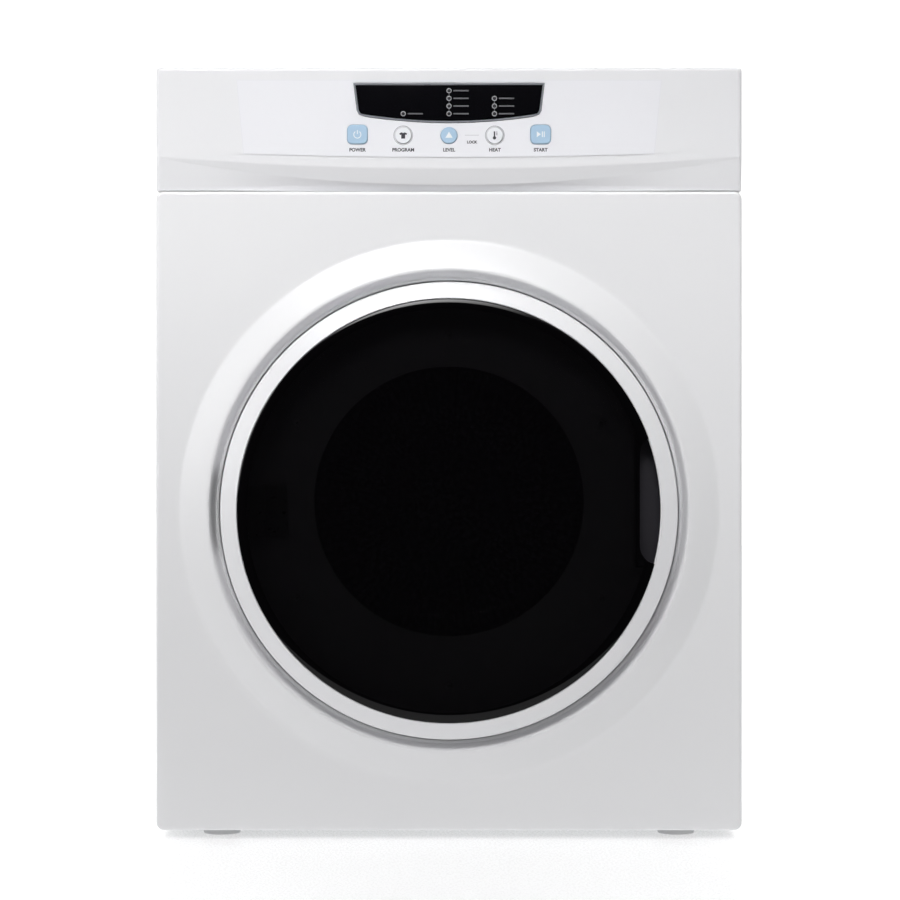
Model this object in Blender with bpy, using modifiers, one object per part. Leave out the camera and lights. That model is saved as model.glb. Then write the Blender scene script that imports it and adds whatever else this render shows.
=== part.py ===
"""Compact vented clothes dryer with a round glass door, as separate parts.

Metres, +Z up. The front faces -Y, the hinge is on the left (-X), and the origin is on the floor
under the middle of the dryer. Depths are given as "forward" distances from the flat of the front
panel: positive towards the user, negative into the cabinet.
"""

import math

import bmesh
import bpy
from mathutils import Matrix, Vector

# ---- driving dimensions ----
CABINET_WIDTH = 0.595
CABINET_DEPTH = 0.500
BODY_HEIGHT = 0.775
FOOT_HEIGHT = 0.010
DOOR_BULGE = 0.034
COLLAR_REACH = 0.030
PANEL_HEIGHT = 0.649
DOOR_AXIS_HEIGHT = 0.325
SHEET = 0.0010
GAP = 0.0003
DRUM_RADIUS = 0.255
DRUM_DEPTH = 0.335
DOOR_RADIUS = 0.231
GLASS_RADIUS = 0.2136
OPENING_RADIUS = 0.178
WINDOW_RADIUS = 0.137
WINDOW_RISE = 0.009
BUTTON_PITCH = 0.0465

# ---- places that follow from them ----
HALF_WIDTH = CABINET_WIDTH / 2
OVERALL_DEPTH = DOOR_BULGE + CABINET_DEPTH + COLLAR_REACH
FRONT_Y = DOOR_BULGE - OVERALL_DEPTH / 2
BOTTOM_Z = FOOT_HEIGHT
TOP_Z = FOOT_HEIGHT + BODY_HEIGHT
PANEL_TOP_Z = FOOT_HEIGHT + PANEL_HEIGHT
AXIS_Z = FOOT_HEIGHT + DOOR_AXIS_HEIGHT
FRONT_FRAME = 0.032
REAR = -CABINET_DEPTH
RECESS_FLOOR = -0.020
BULKHEAD_FRONT = -0.022
REAR_BULKHEAD = -0.420
DRUM_FRONT = -0.068
DRUM_REAR = DRUM_FRONT - DRUM_DEPTH
BELT_PLANE = -0.341
MOTOR_X = 0.210
MOTOR_Z = 0.095
MOTOR_RADIUS = 0.045
PULLEY_RADIUS = 0.009
IDLER_X = 0.140
IDLER_Z = 0.080
IDLER_RADIUS = 0.014
ARM_PIVOT_X = 0.185
ARM_PIVOT_Z = 0.032
BELT_THICKNESS = 0.002
BELT_WIDTH = 0.008
ROLLER_RADIUS = 0.022
ROLLER_ANGLE = math.radians(52)
HINGE_X = -0.217
HINGE_FORWARD = 0.0122
HINGE_NOTCH = 0.040
LATCH_X = 0.201
LATCH_RISE = 0.046
DUCT_RADIUS = 0.030
EXHAUST_X = -0.195
EXHAUST_Z = 0.076
BLOWER_RADIUS = 0.058

# ---- roundness of turned shapes ----
LARGE = 40
MEDIUM = 24
SMALL = 16
TINY = 10

# ---- finishes: colour, roughness, metallic ----
FINISHES = {
    "white_enamel": ((0.86, 0.86, 0.87), 0.35, 0.0),
    "white_plastic": ((0.84, 0.84, 0.86), 0.28, 0.0),
    "film": ((0.88, 0.88, 0.89), 0.45, 0.0),
    "silver_plastic": ((0.55, 0.56, 0.57), 0.30, 0.6),
    "black_glass": ((0.008, 0.008, 0.010), 0.05, 0.0),
    "tinted_glass": ((0.012, 0.010, 0.014), 0.04, 0.0),
    "blue_plastic": ((0.42, 0.57, 0.72), 0.35, 0.0),
    "dark_plastic": ((0.020, 0.020, 0.024), 0.40, 0.0),
    "grey_plastic": ((0.35, 0.35, 0.37), 0.45, 0.0),
    "galvanised": ((0.58, 0.60, 0.61), 0.42, 1.0),
    "stainless": ((0.62, 0.62, 0.61), 0.25, 1.0),
    "steel": ((0.50, 0.50, 0.51), 0.30, 1.0),
    "rubber": ((0.025, 0.025, 0.025), 0.75, 0.0),
    "felt": ((0.55, 0.50, 0.42), 0.95, 0.0),
    "clear_plastic": ((0.75, 0.78, 0.80), 0.08, 0.0),
    "board_green": ((0.02, 0.16, 0.06), 0.50, 0.0),
    "heater_wire": ((0.30, 0.24, 0.20), 0.45, 1.0),
}


def clear_scene():
    """Remove whatever the file holds."""
    for item in list(bpy.data.objects):
        bpy.data.objects.remove(item, do_unlink=True)


def new_collection(name):
    """A collection under the scene."""
    collection = bpy.data.collections.new(name)
    bpy.context.scene.collection.children.link(collection)
    return collection


clear_scene()
PARTS = new_collection("clothes_dryer")
CUTTERS = new_collection("cutters")


def make_material(node, finish):
    """A Principled material of the node's own."""
    colour, roughness, metallic = FINISHES[finish]
    material = bpy.data.materials.new(node)
    material.use_nodes = True
    shader = material.node_tree.nodes["Principled BSDF"]
    shader.inputs["Base Color"].default_value = (*colour, 1.0)
    shader.inputs["Roughness"].default_value = roughness
    shader.inputs["Metallic"].default_value = metallic
    material.diffuse_color = (*colour, 1.0)
    return material


def depth(forward):
    """World Y of a plane this far forward of the front panel."""
    return FRONT_Y - forward


def add_pivot(name, x, forward, z):
    """An empty on a joint's axis, which carries what turns or slides there."""
    pivot = bpy.data.objects.new(name, None)
    pivot.location = (x, depth(forward), z)
    PARTS.objects.link(pivot)
    return pivot


def add_part(name, mesh, finish, location=(0, 0, 0), rotation=(0, 0, 0), pivot=None):
    """Put a named part into the scene, under its pivot if it moves."""
    part = bpy.data.objects.new(name, mesh)
    mesh.materials.append(make_material(name, finish))
    part.location = Vector(location)
    part.rotation_euler = rotation
    if pivot:
        part.parent = pivot
        part.location = Vector(location) - pivot.location
    PARTS.objects.link(part)
    return part


def add_tool(mesh, location=(0, 0, 0), rotation=(0, 0, 0), pivot=None):
    """A shape that only cuts or joins another part."""
    tool = bpy.data.objects.new("tool", mesh)
    tool.location = Vector(location)
    tool.rotation_euler = rotation
    tool.hide_render = True
    tool.display_type = "WIRE"
    if pivot:
        tool.parent = pivot
        tool.location = Vector(location) - pivot.location
    CUTTERS.objects.link(tool)
    return tool


def combine(part, tool, operation, solver="EXACT"):
    """Cut, join or intersect a part with a tool."""
    modifier = part.modifiers.new(operation.lower(), "BOOLEAN")
    modifier.operation = operation
    modifier.object = tool
    modifier.solver = solver


def finish_mesh(bm, name):
    """Turn a bmesh into a mesh with flat faces and smooth rounds."""
    mesh = bpy.data.meshes.new(name)
    bm.to_mesh(mesh)
    bm.free()
    mesh.shade_smooth()
    mesh.set_sharp_from_angle(angle=math.radians(30))
    return mesh


def box_mesh(name, boxes):
    """Separate blocks, each given by its low and high (x, forward, z) corners."""
    bm = bmesh.new()
    for low, high in boxes:
        low_corner = Vector((low[0], depth(low[1]), low[2]))
        high_corner = Vector((high[0], depth(high[1]), high[2]))
        size = high_corner - low_corner
        middle = (low_corner + high_corner) / 2
        scale = Matrix.Diagonal((abs(size.x), abs(size.y), abs(size.z), 1.0))
        bmesh.ops.create_cube(bm, size=1.0, matrix=Matrix.Translation(middle) @ scale)
    return finish_mesh(bm, name)


def centred_box(name, low, high):
    """One block's mesh about its own middle, and where that middle is."""
    mesh = box_mesh(name, [(low, high)])
    middle = Vector(((low[0] + high[0]) / 2, depth((low[1] + high[1]) / 2), (low[2] + high[2]) / 2))
    mesh.transform(Matrix.Translation(-middle))
    return mesh, middle


def block(name, finish, low, high, pivot=None):
    """A plain block between two (x, forward, z) corners."""
    mesh, middle = centred_box(name, low, high)
    return add_part(name, mesh, finish, middle, pivot=pivot)


def cut_box(part, low, high, pivot=None, solver="EXACT"):
    """Remove a block from a part."""
    mesh, middle = centred_box("tool", low, high)
    combine(part, add_tool(mesh, middle, pivot=pivot), "DIFFERENCE", solver)


def join_box(part, low, high, pivot=None):
    """Add a block to a part."""
    mesh, middle = centred_box("tool", low, high)
    combine(part, add_tool(mesh, middle, pivot=pivot), "UNION")


FACING_FRONT = (math.radians(90), 0, 0)
FACING_UP = (0, 0, 0)
FACING_LEFT = (0, math.radians(-90), 0)


def profile_mesh(name, profile, closed):
    """The line that a turned part's section follows, as (radius, along the axis) points."""
    bm = bmesh.new()
    points = [bm.verts.new((radius, 0, along)) for radius, along in profile]
    for start, end in zip(points, points[1:]):
        bm.edges.new((start, end))
    if closed:
        bm.edges.new((points[-1], points[0]))
    mesh = bpy.data.meshes.new(name)
    bm.to_mesh(mesh)
    bm.free()
    return mesh


def add_screw(item, segments):
    """Turn a section through a full circle about its own Z axis."""
    screw = item.modifiers.new("turn", "SCREW")
    screw.angle = math.tau
    screw.steps = segments
    screw.render_steps = segments
    screw.use_merge_vertices = True
    screw.merge_threshold = 0.00001
    screw.use_smooth_shade = True


def turned(name, finish, profile, centre, segments, closed=True, facing=FACING_FRONT, pivot=None):
    """A turned part about an axis through centre, an (x, z) pair for parts that face the front."""
    location = (centre[0], FRONT_Y, centre[1]) if len(centre) == 2 else centre
    part = add_part(name, profile_mesh(name, profile, closed), finish, location, facing, pivot)
    add_screw(part, segments)
    return part


def turned_tool(profile, centre, segments, closed=True, facing=FACING_FRONT, pivot=None):
    """A turned shape that cuts or joins."""
    location = (centre[0], FRONT_Y, centre[1]) if len(centre) == 2 else centre
    tool = add_tool(profile_mesh("tool", profile, closed), location, facing, pivot)
    add_screw(tool, segments)
    return tool


def rod_profile(radius, front, back):
    """Section of a solid rod, from its front end to its back end."""
    return [(0, front), (radius, front), (radius, back), (0, back)]


def tube_profile(inner, outer, front, back):
    """Section of a plain tube."""
    return [(outer, front), (outer, back), (inner, back), (inner, front)]


def drill(part, radius, front, back, centre, segments=SMALL, facing=FACING_FRONT, pivot=None):
    """Cut a round hole."""
    tool = turned_tool(rod_profile(radius, front, back), centre, segments, False, facing, pivot)
    combine(part, tool, "DIFFERENCE")


def arc(centre, radius, start_degrees, end_degrees, steps):
    """Points along a round, in the plane of the two coordinates given."""
    points = []
    for step in range(steps + 1):
        angle = math.radians(start_degrees + (end_degrees - start_degrees) * step / steps)
        points.append((centre[0] + radius * math.cos(angle), centre[1] + radius * math.sin(angle)))
    return points


def rounded_outline(width, height, radius, steps=3, centre=(0, 0)):
    """A rounded rectangle, as (x, z) points."""
    points = []
    for sign_x, sign_z, start in ((1, 1, 0), (-1, 1, 90), (-1, -1, 180), (1, -1, 270)):
        corner = (centre[0] + sign_x * (width / 2 - radius), centre[1] + sign_z * (height / 2 - radius))
        points += arc(corner, radius, start, start + 90, steps)
    return points


def welded_mesh(name, curve):
    """The mesh that a curve draws, with its seams closed."""
    drawn = bpy.data.objects.new(name, curve)
    CUTTERS.objects.link(drawn)
    bpy.context.view_layer.update()
    evaluated = drawn.evaluated_get(bpy.context.evaluated_depsgraph_get())
    mesh = bpy.data.meshes.new_from_object(evaluated)
    bpy.data.objects.remove(drawn, do_unlink=True)
    bm = bmesh.new()
    bm.from_mesh(mesh)
    bmesh.ops.remove_doubles(bm, verts=bm.verts, dist=0.000001)
    bmesh.ops.recalc_face_normals(bm, faces=bm.faces)
    bm.to_mesh(mesh)
    bm.free()
    return mesh


def round_curve(name, places, radius, roundness, capped):
    """A round line of even thickness through (x, y, z) places."""
    curve = bpy.data.curves.new(name, "CURVE")
    curve.dimensions = "3D"
    curve.bevel_depth = radius
    curve.bevel_resolution = roundness
    curve.use_fill_caps = capped
    spline = curve.splines.new("POLY")
    spline.points.add(len(places) - 1)
    for point, place in zip(spline.points, places):
        point.co = (*place, 1)
    return curve


def wire(name, finish, places, radius, location=(0, 0, 0)):
    """A bent wire with closed ends."""
    curve = round_curve(name, places, radius, 1, True)
    curve.materials.append(make_material(name, finish))
    part = bpy.data.objects.new(name, curve)
    part.location = location
    PARTS.objects.link(part)


def plate_mesh(name, outlines, thickness):
    """A flat plate from one outline and the outlines of its holes."""
    curve = bpy.data.curves.new(name, "CURVE")
    curve.dimensions = "2D"
    curve.fill_mode = "BOTH"
    curve.extrude = thickness / 2
    for outline in outlines:
        spline = curve.splines.new("POLY")
        spline.points.add(len(outline) - 1)
        for point, (x, z) in zip(spline.points, outline):
            point.co = (x, z, 0, 1)
        spline.use_cyclic_u = True
    mesh = welded_mesh(name, curve)
    mesh.shade_smooth()
    mesh.set_sharp_from_angle(angle=math.radians(30))
    return mesh


def plate(name, finish, outlines, front, back, pivot=None, centre=(0, 0)):
    """A plate drawn in the front view, between two depths."""
    mesh = plate_mesh(name, outlines, front - back)
    location = (centre[0], depth((front + back) / 2), centre[1])
    return add_part(name, mesh, finish, location, FACING_FRONT, pivot)


def plate_tool(outlines, front, back, centre=(0, 0), pivot=None):
    """A plate drawn in the front view that cuts or joins."""
    mesh = plate_mesh("tool", outlines, front - back)
    location = (centre[0], depth((front + back) / 2), centre[1])
    return add_tool(mesh, location, FACING_FRONT, pivot)


def bent_sheet(name, finish, corners, low_z, high_z):
    """A folded sheet: an open line of (x, forward) corners seen from above, thickened inwards."""
    bm = bmesh.new()
    for (x_a, forward_a), (x_b, forward_b) in zip(corners, corners[1:]):
        edge = [(x_a, forward_a), (x_b, forward_b)]
        lower = [bm.verts.new((x, depth(forward), low_z)) for x, forward in edge]
        upper = [bm.verts.new((x, depth(forward), high_z)) for x, forward in edge]
        bm.faces.new((lower[0], lower[1], upper[1], upper[0]))
    bmesh.ops.remove_doubles(bm, verts=bm.verts, dist=0.000001)
    part = add_part(name, finish_mesh(bm, name), finish)
    add_thickness(part, SHEET)
    return part


def add_thickness(part, thickness):
    """Thicken an open surface on its inner side."""
    solidify = part.modifiers.new("thickness", "SOLIDIFY")
    solidify.thickness = thickness
    solidify.offset = -1
    solidify.use_even_offset = True


def open_tray(name, finish, low, high, open_side, rounding=0.0):
    """A box shell without one side, with its rounded folds made before it is thickened."""
    bm = bmesh.new()
    mesh, middle = centred_box(name, low, high)
    bm.from_mesh(mesh)
    bm.faces.ensure_lookup_table()
    away = [face for face in bm.faces if face.normal.dot(Vector(open_side)) > 0.9]
    bmesh.ops.delete(bm, geom=away, context="FACES_ONLY")
    if rounding:
        folds = [edge for edge in bm.edges if len(edge.link_faces) == 2]
        bmesh.ops.bevel(bm, geom=folds, offset=rounding, segments=2, profile=0.5, affect="EDGES")
    bpy.data.meshes.remove(mesh)
    part = add_part(name, finish_mesh(bm, name), finish, middle)
    add_thickness(part, SHEET)
    return part


# ---- cabinet ----

def build_front_panel():
    """White front with its raised round surround and the recess that the door sits in."""
    panel = open_tray(
        "front_panel", "white_enamel",
        (-HALF_WIDTH, -FRONT_FRAME, BOTTOM_Z), (HALF_WIDTH, 0, PANEL_TOP_Z), (0, 1, 0), 0.007,
    )
    crease = 0.274
    centre = (0, AXIS_Z)
    drill(panel, crease - 0.001, 0.01, -0.01, centre, LARGE)
    crest = 0.243
    crest_forward = 0.012
    roll = 0.006
    slope = crest_forward / (crease - crest)
    under_sheet = 0.0022
    back_step = SHEET
    wall = crest - roll
    lip = arc((crest, crest_forward - roll), roll, 180, 90, 2)
    section = [
        (crease + under_sheet, -slope * under_sheet),
        (crease + 0.0005, -0.9 * SHEET),
        (crest, crest_forward - 1.3 * back_step),
        (wall + back_step, crest_forward - roll),
        (wall + back_step, RECESS_FLOOR - back_step),
        (OPENING_RADIUS + 0.006, RECESS_FLOOR - back_step),
        (OPENING_RADIUS + 0.006, RECESS_FLOOR),
        (wall, RECESS_FLOOR),
    ] + lip
    combine(panel, turned_tool(section, centre, LARGE), "UNION")
    cut_hook_slot(panel)


def cut_hook_slot(part):
    """The slot that the door's hook passes through."""
    cut_box(
        part,
        (LATCH_X - 0.009, -0.050, AXIS_Z + LATCH_RISE - 0.012),
        (LATCH_X + 0.009, -0.010, AXIS_Z + LATCH_RISE + 0.012),
        solver="MANIFOLD",
    )


def build_cabinet():
    """Sheet metal round the machine, and its base."""
    side_front = -FRONT_FRAME - 0.0005
    flange = 0.015
    top_tray = 0.020
    base = open_tray(
        "base_pan", "galvanised",
        (-0.292, -0.492, BOTTOM_Z), (0.292, -0.035, BOTTOM_Z + 0.026), (0, 0, 1),
    )
    for x, forward in foot_places():
        drill(base, 0.0056, 0.02, -0.02, (x, depth(forward), BOTTOM_Z), TINY, FACING_UP)
    for name, side in (("left_side_panel", -1), ("right_side_panel", 1)):
        edge = side * HALF_WIDTH
        fold = side * (HALF_WIDTH - flange)
        corners = [(fold, side_front), (edge, side_front), (edge, REAR + 0.002), (fold, REAR + 0.002)]
        if side < 0:
            corners.reverse()
        bent_sheet(name, "white_enamel", corners, BOTTOM_Z, TOP_Z - top_tray - 0.0005)
    open_tray(
        "top_panel", "white_enamel",
        (-HALF_WIDTH, REAR + 0.0005, TOP_Z - top_tray), (HALF_WIDTH, side_front, TOP_Z - 0.0005),
        (0, 0, -1), 0.003,
    )
    build_rear_panel(top_tray)


def build_rear_panel(top_tray):
    """Galvanised back with air slots, the exhaust hole and the power inlet hole."""
    rear = block(
        "rear_panel", "galvanised",
        (-HALF_WIDTH + 0.001, REAR, BOTTOM_Z + 0.001),
        (HALF_WIDTH - 0.001, REAR + SHEET, TOP_Z - top_tray - 0.001),
    )
    slots = []
    for column in range(2):
        for row in range(6):
            x = 0.115 + 0.075 * column
            z = 0.480 + 0.016 * row
            slots.append(((x, REAR - 0.01, z), (x + 0.060, REAR + 0.01, z + 0.005)))
    combine(rear, add_tool(box_mesh("tool", slots)), "DIFFERENCE")
    drill(rear, 0.050, REAR + 0.01, REAR - 0.01, (EXHAUST_X, EXHAUST_Z), MEDIUM)
    drill(rear, 0.008, REAR + 0.01, REAR - 0.01, (-0.22, 0.700), SMALL)
    inlet = plate(
        "power_inlet", "dark_plastic", [rounded_outline(0.046, 0.034, 0.005)],
        REAR - GAP, REAR - 0.010, centre=(-0.22, 0.700),
    )
    gland = turned_tool(rod_profile(0.0075, REAR - 0.002, REAR - 0.019), (-0.22, 0.700), SMALL, False)
    combine(inlet, gland, "UNION")
    sleeve = turned_tool(rod_profile(0.0073, REAR + 0.006, REAR - 0.002), (-0.22, 0.700), SMALL, False)
    combine(inlet, sleeve, "UNION")
    drill(inlet, 0.0045, REAR + 0.02, REAR - 0.03, (-0.22, 0.700), SMALL)


def roller_centres():
    """Where the two support rollers touch the drum, left and right of its lowest point."""
    reach = DRUM_RADIUS + ROLLER_RADIUS + 0.0008
    across = reach * math.sin(ROLLER_ANGLE)
    height = AXIS_Z - reach * math.cos(ROLLER_ANGLE)
    return {"left": (-across, height), "right": (across, height)}


def build_bulkheads():
    """Front and rear walls that carry the drum, and the collar that its front turns on."""
    front = block(
        "front_bulkhead", "galvanised",
        (-0.290, BULKHEAD_FRONT - SHEET, BOTTOM_Z + 0.004), (0.290, BULKHEAD_FRONT, PANEL_TOP_Z - 0.004),
    )
    centre = (0, AXIS_Z)
    drill(front, OPENING_RADIUS + SHEET + GAP, 0, -0.1, centre, LARGE)
    cut_hook_slot(front)
    for middle in roller_centres().values():
        stud = turned_tool(rod_profile(0.006, BULKHEAD_FRONT - 0.0006, -0.099), middle, SMALL, False)
        combine(front, stud, "UNION", "MANIFOLD")
    tube = tube_profile(OPENING_RADIUS, OPENING_RADIUS + SHEET, BULKHEAD_FRONT, -0.056)
    collar = turned("drum_collar", "galvanised", tube, centre, LARGE)
    cut_box(collar, (-0.078, -0.047, 0.120), (0.078, -0.035, 0.200))
    rear = block(
        "rear_bulkhead", "galvanised",
        (-0.280, REAR_BULKHEAD - SHEET, BOTTOM_Z + 0.030), (0.280, REAR_BULKHEAD, PANEL_TOP_Z - 0.004),
    )
    drill(rear, 0.013, REAR_BULKHEAD + 0.01, REAR_BULKHEAD - 0.01, centre)
    drill(rear, DUCT_RADIUS + 0.006, REAR_BULKHEAD + 0.01, REAR_BULKHEAD - 0.01, (EXHAUST_X, 0.068))
    cut_box(rear, (0.125, REAR_BULKHEAD - 0.01, 0.350), (0.190, REAR_BULKHEAD + 0.01, 0.440))


def foot_places():
    """The (x, forward) place of each levelling foot, front first."""
    return [(x, forward) for forward in (-0.062, -0.455) for x in (-0.235, 0.235)]


def build_feet():
    """Levelling feet, screwed right in."""
    names = ("front_left", "front_right", "rear_left", "rear_right")
    section = [
        (0, 0.034), (0.005, 0.034), (0.005, 0.0096), (0.013, 0.0096), (0.019, 0.006), (0.019, 0), (0, 0),
    ]
    for name, (x, forward) in zip(names, foot_places()):
        turned("foot_" + name, "grey_plastic", section, (x, depth(forward), 0), SMALL, False, FACING_UP)


# ---- console ----

def crest_height(x):
    """Height of the console's lower front edge, which hangs lower in the middle."""
    return FOOT_HEIGHT + 0.672 + 0.0125 * (x / HALF_WIDTH) ** 2


def fold_height(x):
    """Height of the fold in the scoop under that edge."""
    return FOOT_HEIGHT + 0.656 + 0.0272 * (x / HALF_WIDTH) ** 2


def build_fascia():
    """Console front: a hollow block whose lower edge is scooped back in two facets."""
    bottom = PANEL_TOP_Z + 0.0005
    stations = 12
    bm = bmesh.new()
    rings = []
    for station in range(stations + 1):
        x = HALF_WIDTH * (2 * station / stations - 1)
        ring = [
            (TOP_Z, -FRONT_FRAME), (TOP_Z, 0), (crest_height(x), 0), (fold_height(x), -0.005),
            (bottom, -0.013), (bottom, -FRONT_FRAME),
        ]
        rings.append([bm.verts.new((x, depth(forward), z)) for z, forward in ring])
    for left, right in zip(rings, rings[1:]):
        for row in range(len(left)):
            following = (row + 1) % len(left)
            bm.faces.new((left[row], left[following], right[following], right[row]))
    bm.faces.new(list(reversed(rings[0])))
    bm.faces.new(rings[-1])
    bmesh.ops.recalc_face_normals(bm, faces=bm.faces)
    rounded = []
    for edge in bm.edges:
        ends = [vert.co for vert in edge.verts]
        on_top = all(abs(end.z - TOP_Z) < 0.0001 for end in ends)
        in_front = all(end.y < depth(-0.001) for end in ends)
        at_end = all(abs(abs(end.x) - HALF_WIDTH) < 0.0001 for end in ends)
        scooped = all(end.y < depth(-0.0135) for end in ends)
        if (on_top and in_front) or (on_top and at_end) or (at_end and scooped and not on_top):
            rounded.append(edge)
    bmesh.ops.bevel(bm, geom=rounded, offset=0.004, segments=2, profile=0.5, affect="EDGES")
    fascia = add_part("console_fascia", finish_mesh(bm, "console_fascia"), "white_plastic")
    wall = 0.0025
    cut_box(fascia, (-HALF_WIDTH + wall, -0.05, 0.697), (HALF_WIDTH - wall, -wall, TOP_Z - wall))
    cut_box(fascia, (-HALF_WIDTH + wall, -0.06, bottom + wall), (HALF_WIDTH - wall, -0.0155, 0.700))
    combine(fascia, plate_tool([display_outline(0.0012)], 0.01, -0.01), "DIFFERENCE")
    for _name, x, z, shape in button_layout():
        combine(fascia, plate_tool([button_outline(shape, 0.0004)], 0.01, -0.01, (x, z)), "DIFFERENCE")


def display_outline(grow=0.0):
    """Display with a straight top, tapering sides and a curved lower edge."""
    half_top = 0.0960 + grow
    top = TOP_Z - 0.0172 + grow
    middle_low = TOP_Z - 0.0556 - grow
    half_low = 0.0845 + grow * 0.6
    corner_rise = 0.0063
    lower = []
    steps = 8
    for step in range(steps + 1):
        share = 1 - 2 * step / steps
        lower.append((-half_low * share, middle_low + corner_rise * share ** 2))
    side_low = (0.0926 + grow, TOP_Z - 0.0440)
    knee = (0.0905 + grow * 0.8, TOP_Z - 0.0476 - grow * 0.5)
    left = [(-half_top, top), (-side_low[0], side_low[1]), (-knee[0], knee[1])]
    right = [(knee[0], knee[1]), (side_low[0], side_low[1]), (half_top, top)]
    return left + lower + right


def button_layout():
    """Name, x, z and shape of each button, left to right."""
    square_z = TOP_Z - 0.0684
    round_z = square_z - 0.0010
    return [
        ("power_button", -2 * BUTTON_PITCH, square_z, "square"),
        ("program_button", -BUTTON_PITCH, round_z, "round"),
        ("level_button", 0.0, round_z, "round"),
        ("heat_button", BUTTON_PITCH, round_z, "round"),
        ("start_button", 2 * BUTTON_PITCH, square_z, "square"),
    ]


def button_outline(shape, grow=0.0):
    """Outline of a button, about its own centre."""
    if shape == "square":
        return rounded_outline(0.0205 + 2 * grow, 0.0195 + 2 * grow, 0.005 + grow)
    return arc((0, 0), 0.0084 + grow, 0, 342, 19)


def build_console():
    """Everything the user reads and presses, and the board behind it."""
    build_fascia()
    half_top = 0.216
    half_low = 0.209
    film_top = TOP_Z - 0.0128
    film_low = TOP_Z - 0.0915
    steps = 8
    lower = []
    for step in range(steps + 1):
        share = 1 - 2 * step / steps
        lower.append((-half_low * share, film_low + 0.0035 * share ** 2))
    film_edge = [(-half_top, film_top)] + lower + [(half_top, film_top)]
    holes = [display_outline(0.0016)]
    for _name, x, z, shape in button_layout():
        hole = [(x + across, z + up) for across, up in button_outline(shape, 0.0005)]
        holes.append(hole)
    plate("label_film", "film", [film_edge] + holes, GAP + 0.0004, GAP)
    plate("display_bezel", "silver_plastic", [display_outline(0.0008), display_outline(-0.0008)],
          0.0014, -0.0030)
    plate("display_window", "black_glass", [display_outline(-0.0012)], 0.0010, -0.0020)
    board_front = -0.0135
    board = block(
        "control_board", "board_green",
        (-0.115, board_front - 0.0016, 0.702), (0.115, board_front, 0.777),
    )
    for name, x, z, shape in button_layout():
        join_box(board, (x - 0.003, board_front - 0.001, z - 0.003), (x + 0.003, -0.0098, z + 0.003))
        build_button(name, x, z, shape)


def build_button(name, x, z, shape):
    """A cap that stands proud of the film, with a flange behind the fascia and a stem."""
    finish = "white_plastic" if shape == "round" and name != "level_button" else "blue_plastic"
    cap_front = 0.0022
    mesh = plate_mesh(name, [button_outline(shape)], cap_front + 0.004)
    middle = (cap_front - 0.004) / 2
    button = add_part(name, mesh, finish, (x, depth(middle), z), FACING_FRONT)
    combine(button, plate_tool([button_outline(shape, 0.0014)], -0.0030, -0.0042, (x, z)), "UNION")
    stem = turned_tool(rod_profile(0.002, -0.0035, -0.0080), (x, z), TINY, False)
    combine(button, stem, "UNION", "MANIFOLD")


# ---- door ----

def dome(radius, forward):
    """Forward place of the glass's outer face at a radius, for a dome that rises to its centre."""
    rise = 0.008
    return forward + rise * (1 - (radius / GLASS_RADIUS) ** 2)


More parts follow.
